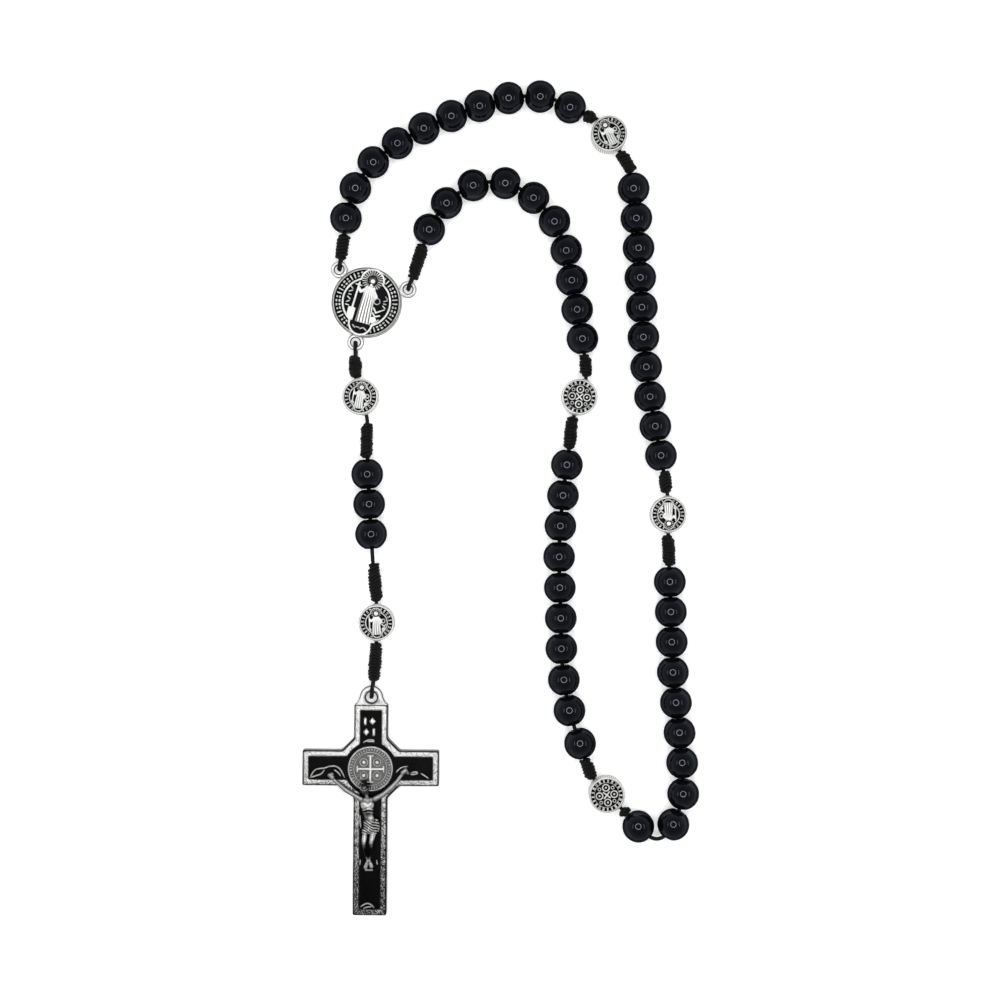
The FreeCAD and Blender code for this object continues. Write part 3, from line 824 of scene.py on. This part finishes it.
def make_beads():
    """All the balls. The decades' balls and their knots follow their cord."""
    data = bead_data()
    for number in DECADE_ROUTES:
        node = f"decade_{number}_beads"
        places = bead_places(node)
        route = decade_route(number)
        places.sort(key=lambda spot: route_share(route, spot[0]))
        for index, (centre, direction) in enumerate(places, 1):
            obj = new_object(f"decade_{number}_bead_{index:02d}", data)
            place(obj, centre, direction, spin=index * 2.4)
            finish_piece(obj, f"decade_{number}", "bead", *([node] if index == 1 else []))
        make_decade_knots(number, route, places)
    for index in (1, 2, 3):
        node = f"drop_bead_{index}"
        obj = place(new_object(node + "_ball", data), *bead_places(node)[0], spin=index)
        finish_piece(obj, node, "bead", node)


def route_share(route, point):
    """How far along a route a point lies."""
    best = (math.inf, 0.0)
    for index, (start, end) in enumerate(zip(route, route[1:])):
        run = end - start
        t = min(max((point - start).dot(run) / run.length_squared, 0), 1)
        best = min(best, ((point - start - run * t).length, index + t))
    return best[1]


def make_decade_knots(number, route, places):
    body, first = f"decade_{number}", STRAND_ENDS[number][0]
    if first in EYES:
        make_knot(body + "_start_knot", body, eye_start(first, route[1])[0], route[1])
    else:
        make_knot(body + "_start_knot", body, along(route[1], route[2], STILL_GAP), route[2])
    centre, direction = places[-1]
    end = along(route[-2], route[-3], STILL_GAP) if number == 4 else route[-1]
    direction = direction if direction.dot(end - centre) > 0 else -direction
    start = centre + direction * (BEAD_HALF_LENGTH + KNOT_BEAD_GAP)
    make_knot(body + "_end_knot", body, start, end)


def make_drop_knots():
    line_start = on_strand(DROP_LINE_START)
    mouth_in = medal_mouths(5)[0]
    tip = eye_start("bottom", mouth_in)[0]
    make_knot("drop_upper_knot", "drop_upper", tip, along(mouth_in, tip, STILL_GAP))
    make_knot("drop_middle_knot", "drop_middle",
              along(MIDDLE_BEND, line_start, DROP_MIDDLE_KNOT_GAP), line_start)
    mouth_in, mouth_out = medal_mouths(6)
    make_knot("drop_lower_knot", "drop_lower", along(LOWER_BEND, mouth_in, DROP_LOWER_KNOT_GAP),
              along(mouth_in, LOWER_BEND, STILL_GAP))
    tip = eye_start("crucifix", mouth_out)[0]
    make_knot("crucifix_knot", "drop_lower", along(mouth_out, tip, STILL_GAP), tip)


# ---- medals ----
# Whether each medal bead shows its back, and how many degrees it is turned.
MEDAL_LOOKS = {1: (False, 26.0), 2: (False, 182.0), 3: (True, 8.0), 4: (True, -6.0),
               5: (False, -10.0), 6: (False, 3.0)}


def medal_data():
    """A small medal: a figure on one face, scrolls on the other, and a ridged edge."""
    sides, rings = 300, 52
    ridges = 0.5 + 0.5 * np.cos(50 * circle(sides))
    rows = face_rows(figure_relief, 4.2, rings, sides, 2.0, 0.32)
    rows += [(4.38, 1.93, 0.6), (4.48, 1.75, 0.4)]
    rows += [(4.48 - 0.14 * ridges, height, 0.85 - 0.5 * ridges)
             for height in np.linspace(1.55, -1.55, 12)]
    rows += [(4.48, -1.75, 0.75), (4.38, -1.93, 0.9)]
    rows += face_rows(scroll_relief, 4.2, rings, sides, -2.0, 0.32, upwards=False)[::-1]
    verts, faces, relief = rings_mesh(rows, sides)
    return mesh_data("medal_bead_shape", verts, faces, SILVER, relief)


def collar_data():
    """The raised lip round a medal bead's bore."""
    profile = [(0.00085 + 0.00024 * math.cos(t), 0.0002 * math.sin(t)) for t in circle(10)]
    verts, faces = lathe(profile, 28)
    return mesh_data("collar_shape", verts, faces, SILVER, [0.8] * len(verts))


def make_medal_beads():
    data, collar = medal_data(), collar_data()
    for number, (flipped, turn) in MEDAL_LOOKS.items():
        name = f"medal_bead_{number}"
        centre, direction = medal_place(number)
        obj = new_object(name + "_cast", data)
        obj.matrix_world = (Matrix.Translation(centre) @ Matrix.Rotation(math.radians(turn), 4, "Z")
                            @ Matrix.Rotation(math.pi if flipped else 0.0, 4, "Y"))
        finish_piece(obj, name, "medal", name)
        for end, sign in (("in", -1), ("out", 1)):
            lip = new_object(f"{name}_lip_{end}", collar)
            place(lip, centre + direction * sign * MEDAL_RADIUS, direction)
            finish_piece(lip, name, "medal")


def make_centre_medal():
    """The large medal's disc, its three eyes and the stems that carry them."""
    low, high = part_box("centre_medal")
    centre = Vector((*CENTRE_SPOT, (Vector(low + high) / 2).z))
    sides = 720
    rows = face_rows(centre_relief, 8.5, 128, sides, 1.2, 0.42)
    rows += [(8.60, 1.16, 0.3), (8.68, 1.12, 0.55), (8.77, 0.98, 0.5), (8.8, 0.8, 0.3),
             (8.8, -0.8, 0.3), (8.77, -0.98, 0.6), (8.66, -1.13, 0.9), (8.3, -1.2, 0.9),
             (8.1, -1.0, 0.3), (1.0, -1.0, 0.4)]
    verts, faces, relief = rings_mesh(rows, sides)
    obj = mesh_object("centre_medal_cast", verts, faces, SILVER, relief)
    finish_piece(place(obj, centre), "centre", "medal", "centre_medal")
    for name in ("left", "right", "bottom"):
        hole = EYES[name]
        out = hole - centre
        eye = mesh_object(f"centre_medal_eye_{name}", *eye_ring())
        finish_piece(place(eye, hole), "centre", "medal")
        verts, faces = stem(out.length)
        piece = mesh_object(f"centre_medal_stem_{name}", verts, faces, SILVER, [0.55] * len(verts))
        piece.matrix_world = (Matrix.Translation(Vector((centre.x, centre.y, hole.z)))
                              @ Matrix.Rotation(math.atan2(out.y, out.x), 4, "Z"))
        finish_piece(piece, "centre", "medal")


def eye_ring():
    """A flattened ring with a dark groove inside its bright lip."""
    profile = [(1.10, 0.0, 0.05), (1.14, 0.32, 0.05), (1.30, 0.47, 0.35), (1.50, 0.55, 1.0),
               (1.82, 0.55, 1.0), (2.02, 0.42, 0.45), (2.10, 0.2, 0.2), (2.10, -0.2, 0.2),
               (2.02, -0.42, 0.7), (1.82, -0.55, 1.0), (1.50, -0.55, 1.0), (1.30, -0.47, 0.6),
               (1.14, -0.32, 0.15)]
    verts, faces = lathe([(r * MM, h * MM) for r, h, _ in profile], 72)
    return verts, faces, SILVER, [value for _, _, value in profile] * 72


def stem(distance):
    """The short neck between the disc's edge and an eye, along +X."""
    start, end = CENTRE_RADIUS - 0.0006, distance - 0.0017
    c, s = np.cos(circle(20)), np.sin(circle(20))
    section = np.stack([np.copysign(np.abs(c) ** 0.6, c), np.copysign(np.abs(s) ** 0.6, s)])
    verts = []
    for share in np.linspace(0, 1, 8):
        half = 0.0013 * (1 - 0.22 * math.sin(math.pi * share))
        x = start + (end - start) * share
        verts += [(x, half * a, 0.00052 * b) for a, b in section.T]
    return verts, capped_grid(8, 20)


# ---- crucifix ----
# Millimetres from the middle of the eye's hole, Y up the cross, as in the CAD model.
CROSS_LEAN = math.radians(-0.5)
BAR_HALF, CROSS_TOP, CROSS_FOOT = 4.25, -1.65, -54.7
ARM_LOW, ARM_HIGH, ARM_REACH = -22.2, -13.25, 17.15
CROSS_CORNER = 3.1
CROSS_BORDER = 1.45
ENAMEL_TOP = 2.65
MEDALLION = (0.0, -17.8)
MEDALLION_TOP = 3.5
ENAMEL_RING = 6.6
LOBE_LOW, LOBE_HIGH = 1.3, 2.75
LOBE_MIDDLE = np.array((0.0, -0.3))
SCROLL_RADIUS = 0.19


def cross_piece(name, verts, faces, relief, *nodes, material=CROSS_SILVER):
    """A piece of the crucifix made in millimetres round the cross's eye, laid in its place."""
    return lay_on_cross(mesh_object(name, np.asarray(verts) * MM, faces, material, relief), *nodes)


def lay_on_cross(obj, *nodes):
    hole = EYES["crucifix"]
    obj.matrix_world = (Matrix.Translation(Vector((hole.x, hole.y, 0)))
                        @ Matrix.Rotation(CROSS_LEAN, 4, "Z"))
    return finish_piece(obj, "crucifix", "cross_silver", *nodes)


def cross_corners(inset):
    half, reach = BAR_HALF - inset, ARM_REACH - inset
    low, high = ARM_LOW + inset, ARM_HIGH - inset
    right = [(half, CROSS_TOP - inset), (half, high + CROSS_CORNER), (half + CROSS_CORNER, high),
             (reach, high), (reach, low), (half + CROSS_CORNER, low), (half, low - CROSS_CORNER),
             (half, CROSS_FOOT + inset)]
    return right + [(-x, y) for x, y in reversed(right)]


def cross_contour(inset, counts):
    """Points round the cross at an inset, with the corners slightly rounded."""
    corners = [np.array(p) for p in cross_corners(inset)]
    points = []
    for start, end, count in zip(corners, corners[1:] + corners[:1], counts):
        spread = np.linspace(0, 1, count, endpoint=False) + 0.5 / count
        points += [start + (end - start) * t for t in spread]
    points = np.array(points)
    for _ in range(3):
        points = 0.25 * np.roll(points, 1, 0) + 0.5 * points + 0.25 * np.roll(points, -1, 0)
    share = np.clip((inset - 0.9) / (CROSS_BORDER - 0.9), 0, 1)
    offset = points - np.array(MEDALLION)
    distance = np.linalg.norm(offset, axis=1)
    wanted = np.where(distance < ENAMEL_RING, distance + (ENAMEL_RING - distance) * share, distance)
    return np.array(MEDALLION) + offset * (wanted / distance)[:, None]


def grain(points, scale, seed):
    """A repeatable fine unevenness, from a few crossed waves."""
    rng = np.random.default_rng(seed)
    total = np.zeros(len(points))
    for _ in range(9):
        direction = rng.normal(size=2)
        direction *= scale * rng.uniform(0.6, 1.6) / np.linalg.norm(direction)
        total += np.sin(points @ direction + rng.uniform(0, 6.3))
    return total / 9


def make_cross_body():
    """The cast cross: a raised, grained border round the pocket, with a softened edge."""
    corners = cross_corners(0)
    counts = [max(int(math.dist(a, b) / 0.22), 4)
              for a, b in zip(corners, corners[1:] + corners[:1])]
    profile = [(0.35, 0.0, 0.3), (0.08, 0.12, 0.3), (0.0, 0.4, 0.35), (0.0, 1.4, 0.45),
               (0.0, 2.3, 0.5), (0.06, 2.6, 0.4), (0.16, 2.72, 0.2), (0.26, 2.82, 0.25),
               (0.36, 2.94, 0.8), (0.5, 3.0, 1.0), (0.66, 3.0, 0.9), (0.82, 3.0, 0.95),
               (0.98, 3.0, 0.9), (1.14, 3.0, 0.95), (1.3, 3.0, 1.0), (1.44, 2.96, 0.9),
               (1.56, 2.86, 0.6), (1.66, 2.74, 0.2), (1.68, 2.6, 0.1), (1.44, 2.4, 0.05),
               (1.44, 2.2, 0.05)]
    verts, relief = [], []
    for inset, height, value in profile:
        contour = cross_contour(inset, counts)
        # The border grows rougher and darker towards the foot of the cross.
        worn = np.clip((-contour[:, 1] - 14) / 34, 0, 1)
        rough = np.abs(grain(contour, 7.0, 4) + 0.8 * grain(contour, 15.0, 5))
        rough *= 0.3 < inset < 1.5 and height > 2.55
        verts.append(np.column_stack([contour, height - rough * (0.03 + 0.13 * worn)]))
        relief.append(np.clip(value - (0.3 + 0.55 * worn) * rough * 2.4 - 0.14 * worn, 0, 1))
    cross_piece("cross_cast_body", np.concatenate(verts), capped_grid(len(profile), len(verts[0])),
                np.concatenate(relief), "cross_body")


def lobe_outline(inset):
    """The bell-shaped lobe above the cross, from its left foot over the top to the right."""
    shoulder = [(-4.0, CROSS_TOP - 0.05), (-3.55, CROSS_TOP + 0.35), (-3.2, CROSS_TOP + 1.1)]
    left = np.array(shoulder + [(2.9 * math.cos(t), 2.9 * math.sin(t))
                                for t in np.radians(np.linspace(176, 90, 16))])
    offset = np.concatenate([left, (left * (-1, 1))[::-1][1:]]) - LOBE_MIDDLE
    length = np.linalg.norm(offset, axis=1)
    return LOBE_MIDDLE + offset * ((length - inset) / length)[:, None]


def cross_plate(name, levels):
    """A plate of the cross from (outline, height, relief) levels, the last joined to the first."""
    levels = levels + levels[:1]
    count = len(levels[0][0])
    verts = [np.column_stack([outline, np.full(count, height)]) for outline, height, _ in levels]
    cross_piece(name, np.concatenate(verts), grid_faces(len(levels), count, closed=False),
                np.repeat([value for _, _, value in levels], count))


def make_lobe():
    """The lobe with its hole: a plate whose rim is rounded and whose hole has a dark groove."""
    low, high = LOBE_LOW, LOBE_HIGH
    outer = [(0.35, low, 0.4), (0.0, low + 0.25, 0.35), (0.0, high - 0.35, 0.35),
             (0.12, high - 0.1, 0.5), (0.35, high, 0.95), (0.75, high, 1.0)]
    hole = [(1.75, high - 0.02, 1.0), (1.6, high - 0.2, 0.12), (1.48, high - 0.2, 0.08),
            (1.4, high - 0.05, 0.6), (1.34, high - 0.4, 0.1), (1.34, low, 0.05)]

    def hole_levels(end, count, rows):
        angle = np.linspace(math.radians(205), math.radians(end), count)
        arc = np.column_stack([np.cos(angle), np.sin(angle)])
        return [(arc * radius, height, value) for radius, height, value in rows]

    rim = [(lobe_outline(inset), height, value) for inset, height, value in outer]
    cross_plate("cross_lobe", rim + hole_levels(-25, len(rim[0][0]), hole + [(1.75, low, 0.2)]))
    base = np.column_stack([np.linspace(-4.0, 4.0, 24), np.full(24, CROSS_TOP - 0.25)])
    cross_plate("cross_lobe_foot", [(base, low, 0.3), (base, high, 0.1),
                                    (base + (0, 0.12), high, 0.95)] + hole_levels(335, 24, hole))


# Thin raised lines in the enamel: by the hands, at the title, and at the foot.
SCROLLS = [
    [(-15.2, -20.2), (-14.3, -18.3), (-12.9, -17.9), (-11.2, -17.8), (-10.4, -17.2)],
    [(-15.2, -20.2), (-13.4, -19.6), (-12.2, -19.3), (-11.6, -18.2)],
    [(-11.0, -17.5), (-9.4, -17.1), (-8.0, -17.6), (-7.1, -18.8), (-6.5, -20.2)],
    [(-9.2, -18.2), (-8.2, -18.6), (-7.5, -19.8)],
    [(6.4, -18.8), (7.1, -17.8), (8.3, -17.3), (9.4, -17.2)],
    [(10.0, -18.9), (11.3, -18.4), (12.0, -18.9), (10.6, -19.3), (9.9, -19.2)],
    [(12.6, -18.9), (13.6, -19.5), (14.6, -20.2)],
    [(-1.9, -11.4), (-1.0, -10.6), (0.6, -10.6), (1.0, -10.9)],
    [(-1.0, -11.1), (0.0, -10.9), (0.9, -11.2)],
    [(-2.3, -52.6), (-1.3, -51.7), (0.3, -51.6), (1.2, -52.8)],
    [(-1.6, -53.0), (-0.6, -52.4), (0.5, -52.5)],
    [(-2.4, -40.6), (-2.5, -42.1)],
    [(1.7, -40.7), (1.9, -41.9)],
    [(-2.5, -29.6), (-2.6, -31.2), (-2.3, -32.8)],
]


def raised_line(points):
    """A thin rounded line cast on the enamel, tapering at its ends."""
    line = centreline([Vector((x, y, ENAMEL_TOP + 0.02)) * MM for x, y in points], 10)
    line = evenly(line, 0.00018)
    share = np.linspace(0, 1, len(line))
    reach = SCROLL_RADIUS * MM * (0.45 + 0.55 * smooth(np.minimum(share, 1 - share) * 7))
    verts, faces = sweep(line, reach[:, None], 10)
    return verts / MM, faces


def make_scrollwork():
    verts, faces = join_parts([raised_line(points) for points in SCROLLS])
    cross_piece("cross_scrollwork", verts, faces, [1.0] * len(verts))


def make_title_marks():
    """Four small raised marks, bars and lozenges, in the upper panel."""
    parts = []
    x, y = np.cos(circle(24)), np.sin(circle(24))
    for column, row, half, lozenge in ((-1.4, -5.95, 0.36, False), (0.4, -5.95, 0.85, True),
                                       (-1.15, -8.65, 0.8, True), (0.75, -8.65, 0.36, False)):
        reach = np.abs(x) + np.abs(y) if lozenge else (x ** 4 + y ** 4) ** 0.25
        outline = np.column_stack([half * x / reach, 0.98 * y / reach])
        rows = [np.column_stack([outline * scale + (column, row), np.full(24, ENAMEL_TOP + height)])
                for scale, height in ((1.05, 0.0), (1.0, 0.28), (0.85, 0.42), (0.5, 0.45))]
        parts.append((np.concatenate(rows), grid_faces(4, 24) + [tuple(range(72, 96))]))
    verts, faces = join_parts(parts)
    cross_piece("title_mark_casts", verts, faces, [1.0] * len(verts), "title_marks")


def make_medallion():
    rows = face_rows(medallion_relief, 5.45, 84, 440, MEDALLION_TOP, 0.28)
    rows += [(5.58, 3.45, 0.9), (5.67, 3.34, 0.7), (5.7, 3.15, 0.35), (5.7, 2.62, 0.1)]
    verts, faces, relief = rings_mesh(rows, 440, unit=1)
    cross_piece("cross_medallion_cast", verts + (*MEDALLION, 0), faces, relief,
                "cross_medallion", material=MEDALLION_SILVER)


# The figure, in millimetres with Z from the enamel: balls (x, y, z, radius) along each limb.
FIGURE = {
    "neck": [(-1.0, -23.6, 1.7, 0.55), (-0.7, -24.8, 1.5, 0.62)],
    "left_arm": [(-2.25, -25.1, 1.75, 0.78), (-4.0, -24.1, 1.7, 0.62),
                 (-6.1, -22.9, 1.5, 0.66), (-7.7, -21.6, 1.15, 0.55),
                 (-9.0, -20.6, 0.85, 0.48)],
    "left_hand": [(-9.5, -19.9, 0.8, 0.72), (-10.1, -19.4, 0.75, 0.68),
                  (-9.6, -19.2, 0.75, 0.6)],
    "right_arm": [(1.3, -25.0, 1.75, 0.8), (3.3, -23.9, 1.7, 0.64),
                  (5.4, -22.1, 1.5, 0.68), (6.8, -20.6, 1.15, 0.55),
                  (7.9, -19.1, 0.85, 0.48)],
    "right_hand": [(8.1, -18.6, 0.8, 0.68), (8.8, -18.0, 0.75, 0.66),
                   (9.4, -18.7, 0.7, 0.4)],
    "shoulders": [(-2.1, -25.3, 1.45, 0.75), (-0.5, -25.6, 1.4, 0.95),
                  (1.1, -25.2, 1.45, 0.75)],
    "chest_left": [(-1.4, -26.3, 1.85, 0.92), (-1.3, -27.0, 1.8, 0.82)],
    "chest_right": [(0.2, -26.3, 1.85, 0.92), (0.15, -27.0, 1.8, 0.82)],
    "ribs": [(-0.55, -26.9, 1.2, 1.6), (-0.4, -28.4, 1.15, 1.4), (-0.2, -29.6, 1.1, 1.2)],
    "belly": [(-0.3, -29.1, 1.5, 0.72), (0.35, -29.9, 1.5, 0.75)],
    "hips": [(0.0, -30.9, 1.25, 1.45), (0.25, -32.4, 1.25, 1.6)],
    "cloth_side": [(1.5, -30.9, 1.2, 0.7), (1.85, -32.2, 1.1, 0.66), (1.7, -33.1, 1.0, 0.5)],
    "left_thigh": [(-1.0, -32.9, 1.65, 0.74), (-1.35, -36.1, 1.95, 0.6)],
    "right_thigh": [(1.05, -32.9, 1.65, 0.8), (0.4, -35.9, 2.0, 0.64)],
    "left_shin": [(-1.35, -36.5, 1.6, 0.5), (-1.1, -38.3, 1.1, 0.46),
                  (-0.6, -40.3, 0.85, 0.32)],
    "right_shin": [(0.45, -36.3, 1.65, 0.52), (0.3, -38.2, 1.15, 0.48),
                   (0.0, -40.3, 0.9, 0.32)],
    "left_foot": [(-0.5, -40.8, 0.9, 0.4), (-1.0, -42.4, 0.65, 0.5)],
    "right_foot": [(0.0, -40.8, 0.95, 0.4), (0.5, -42.2, 0.7, 0.5)],
    "foot_rest": [(-1.0, -43.2, 0.25, 0.32), (0.6, -43.2, 0.25, 0.32)],
}
# Spots of the figure made brighter (gain above 0) or darker (gain below 0): centre, reach and gain.
TONE_SPOTS = [((-1.4, -26.6), 0.85, 0.6), ((0.15, -26.6), 0.85, 0.6), ((-1.2, -34.8), 0.8, 0.45),
               ((0.8, -34.2), 0.95, 0.45), ((-0.9, -42.2), 0.75, 0.6), ((0.5, -42.0), 0.75, 0.6),
               ((0.5, -29.8), 0.6, 0.4), ((-1.3, -22.4), 1.9, -0.1), ((-0.9, -38.4), 1.5, -0.3),
               ((0.3, -38.4), 1.5, -0.3), ((-0.6, -28.2), 0.9, -0.25)]
HEAD = Vector((-1.3, -22.6, 2.3))
FACE_AXIS = Vector((-0.38, -0.52, 0.76)).normalized()
CROWN_LEAN = Vector((0.15, 1.0, 0.55))
CROWN_AXIS = (CROWN_LEAN - FACE_AXIS * CROWN_LEAN.dot(FACE_AXIS)).normalized()


def ball(centre, radii, turn=None):
    """Vertices and faces of a ball or, with three radii, an egg turned by a rotation."""
    rows, columns = 11, 18
    polar = np.linspace(0.08, math.pi - 0.08, rows)[:, None]
    around = circle(columns)[None, :]
    verts = np.stack([np.sin(polar) * np.cos(around), np.sin(polar) * np.sin(around),
                      np.cos(polar) + 0 * around], axis=-1).reshape(-1, 3) * radii
    if turn is not None:
        verts = verts @ np.array(turn).T
    return verts + np.array(centre), capped_grid(rows, columns)


def limb(balls):
    """Close-set balls along a limb, thick and thin as its balls say."""
    parts = []
    for (*start, r0), (*end, r1) in zip(balls, balls[1:]):
        start, end = Vector(start), Vector(end)
        count = max(int((end - start).length / (0.3 * min(r0, r1))), 2)
        parts += [ball(start.lerp(end, k / count), (r0 + (r1 - r0) * k / count,) * 3)
                  for k in range(count + 1)]
    return parts


def head():
    """A bowed head with plain features of ordinary proportions, long hair and a short beard."""
    side = CROWN_AXIS.cross(FACE_AXIS)
    basis = Matrix((side, CROWN_AXIS, FACE_AXIS)).transposed()

    def egg(x, y, z, *radii):
        return ball(HEAD + side * x + CROWN_AXIS * y + FACE_AXIS * z, radii, basis)

    parts = [egg(0, 0, 0, 0.92, 1.2, 1.02),
             egg(0, -0.62, 0.3, 0.55, 0.52, 0.6),           # jaw
             egg(0, -0.12, 0.98, 0.12, 0.28, 0.2),          # nose
             egg(0, 0.2, 0.86, 0.52, 0.09, 0.14),           # brow
             egg(0, -0.95, 0.45, 0.42, 0.36, 0.42)]         # beard
    for x in (-1, 1):
        parts.append(egg(0.3 * x, 0.05, 0.86, 0.13, 0.07, 0.09))            # closed eyes
        parts += [egg((0.88 + 0.05 * math.sin(2.0 * k)) * x, 0.6 - 0.36 * k, 0.25 - 0.08 * k,
                      0.3, 0.42, 0.42) for k in range(7)]                   # hair at the sides
    for angle in np.arange(12) * 2 * math.pi / 12:
        parts.append(egg(0.95 * math.cos(angle), 0.62 + 0.12 * math.sin(3 * angle),
                         0.1 + 0.95 * math.sin(angle), 0.24, 0.2, 0.24))    # crown
    return parts


def read(items, field, width, kind=float):
    """A field of all the vertices or edges of a mesh."""
    values = np.zeros(len(items) * width, kind)
    items.foreach_get(field, values)
    return values.reshape(-1, width)


def grown_skin(parts):
    """One skin over all the parts."""
    obj = mesh_object("corpus_limbs", *join_parts(parts), CROSS_SILVER)
    remesh = obj.modifiers.new("skin", "REMESH")
    remesh.mode = "VOXEL"
    remesh.voxel_size = 0.11
    soften = obj.modifiers.new("soften", "SMOOTH")
    soften.iterations = 3
    soften.factor = 0.5
    graph = bpy.context.evaluated_depsgraph_get()
    skin = bpy.data.meshes.new_from_object(obj.evaluated_get(graph))
    bpy.data.objects.remove(obj)
    skin.materials.clear()
    return skin


def neighbours_mean(points, edges, rounds=5):
    """Each point averaged with its neighbours, a few times over."""
    mean = points.copy()
    for _ in range(rounds):
        total, number = np.zeros_like(points), np.zeros(len(points))
        for a, b in ((0, 1), (1, 0)):
            np.add.at(total, edges[:, a], mean[edges[:, b]])
            np.add.at(number, edges[:, a], 1)
        mean = 0.5 * mean + 0.5 * total / number[:, None]
    return mean


def make_corpus():
    """The figure, grown from its limbs into one cast skin, with folds in the loincloth."""
    skin = grown_skin(head() + [part for balls in FIGURE.values() for part in limb(balls)])
    points, normals = read(skin.vertices, "co", 3), read(skin.vertices, "normal", 3)
    x, y = points[:, 0], points[:, 1]
    cloth = smooth((-30.3 + 0.25 * x - y) * 3 + 0.5) * smooth((y + 33.9 + 0.12 * x) * 2 + 0.5)
    folds = np.sin(9.5 * (y + 0.5 * x + 0.12 * np.sin(2.3 * x)))
    ribs = (smooth((y + 29.0) * 1.2) * smooth((-26.7 - y) * 2)
            * np.sin(7.5 * y + 2.2 * np.abs(x + 0.2)))
    hair = smooth((1.75 - np.linalg.norm(points - np.array(HEAD), axis=1)) * 3)
    strands = np.sin(9.0 * (x - 0.2 * y)) * smooth((np.abs(x - HEAD.x) - 0.5) * 3)
    lift = cloth * (0.1 + 0.075 * folds) + 0.07 * ribs + 0.05 * hair * strands
    points += normals * lift[:, None]
    mean = neighbours_mean(points, read(skin.edges, "vertices", 2, int))
    bulge = np.einsum("ij,ij->i", points - mean, normals)
    # Painted light: faces turned up are painted brighter. Bulges are brighter and hollows darker.
    tone = 0.08 + 0.5 * smooth((normals[:, 2] - 0.2) * 1.5) + 6.0 * bulge
    # Fold ridges and ribs brighter, their hollows darker.
    tone += 0.26 * folds * cloth + 0.2 * ribs
    for (centre_x, centre_y), reach, gain in TONE_SPOTS:
        tone += gain * smooth(1.5 - np.hypot(x - centre_x, y - centre_y) / reach)
    # Low parts next to the enamel darker.
    tone -= 0.45 * smooth((0.5 - points[:, 2]) * 2)
    # Painted shade: the sides of the hair turned away from above are darker.
    tone -= 0.12 * hair * smooth((0.7 - normals[:, 2]) * 3)
    skin.vertices.foreach_set("co", ((points + (0, 0, ENAMEL_TOP)) * MM).ravel())
    finish_mesh(skin, CROSS_SILVER, np.clip(tone, 0, 1))
    lay_on_cross(new_object("corpus_cast", skin), "corpus")


# ---- surroundings ----
def make_ring_light():
    bpy.ops.mesh.primitive_torus_add(major_segments=160, minor_segments=20,
                                     major_radius=RING_RADIUS, minor_radius=RING_TUBE,
                                     location=(*VIEW_CENTRE, RING_HEIGHT))
    lamp = bpy.context.object
    lamp.name = "ring_light"
    lamp.data.materials.append(glowing("ring_light_glow", 0, RING_STRENGTH))
    lamp.visible_camera = False
    lamp.visible_shadow = False


def make_side_light(name, x):
    data = bpy.data.lights.new(name, "AREA")
    data.shape = "RECTANGLE"
    data.size, data.size_y = SIDE_LIGHT_SIZE
    data.energy = SIDE_LIGHT_ENERGY
    lamp = new_object(name, data)
    lamp.location = (x, VIEW_CENTRE[1], SIDE_LIGHT_HEIGHT)
    lamp.rotation_euler = (0, math.atan2(x, SIDE_LIGHT_HEIGHT), 0)


def make_surroundings():
    verts = [(x * FLOOR_HALF, y * FLOOR_HALF, -FLOOR_DROP)
             for x, y in ((-1, -1), (1, -1), (1, 1), (-1, 1))]
    pale = glowing("floor_pale", 0.85, FLOOR_GLOW, Roughness=0.9, **{"Specular IOR Level": 0.1})
    mesh_object("floor", verts, [(0, 1, 2, 3)], pale)
    make_ring_light()
    make_side_light("left_light", -SIDE_LIGHT_X)
    make_side_light("right_light", SIDE_LIGHT_X)
    world = bpy.data.worlds.new("studio")
    world.use_nodes = True
    tree = world.node_tree
    split = tree.nodes.new("ShaderNodeSeparateXYZ")
    tree.links.new(tree.nodes.new("ShaderNodeTexCoord").outputs["Generated"],
                   split.inputs["Vector"])
    tree.links.new(ramp(tree, split.outputs["Z"], SKY_GREYS),
                   tree.nodes["Background"].inputs["Color"])
    bpy.context.scene.world = world
    bpy.context.scene.view_settings.view_transform = "Standard"


make_camera()
make_cords()
make_short_cords()
make_bends()
make_beads()
make_drop_knots()
make_medal_beads()
make_centre_medal()
make_cross_body()
make_lobe()
make_medallion()
make_title_marks()
make_scrollwork()
make_corpus()
frame["nodes"]["cross_enamel"].data.materials.clear()
frame["nodes"]["cross_enamel"].data.materials.append(ENAMEL)
make_surroundings()
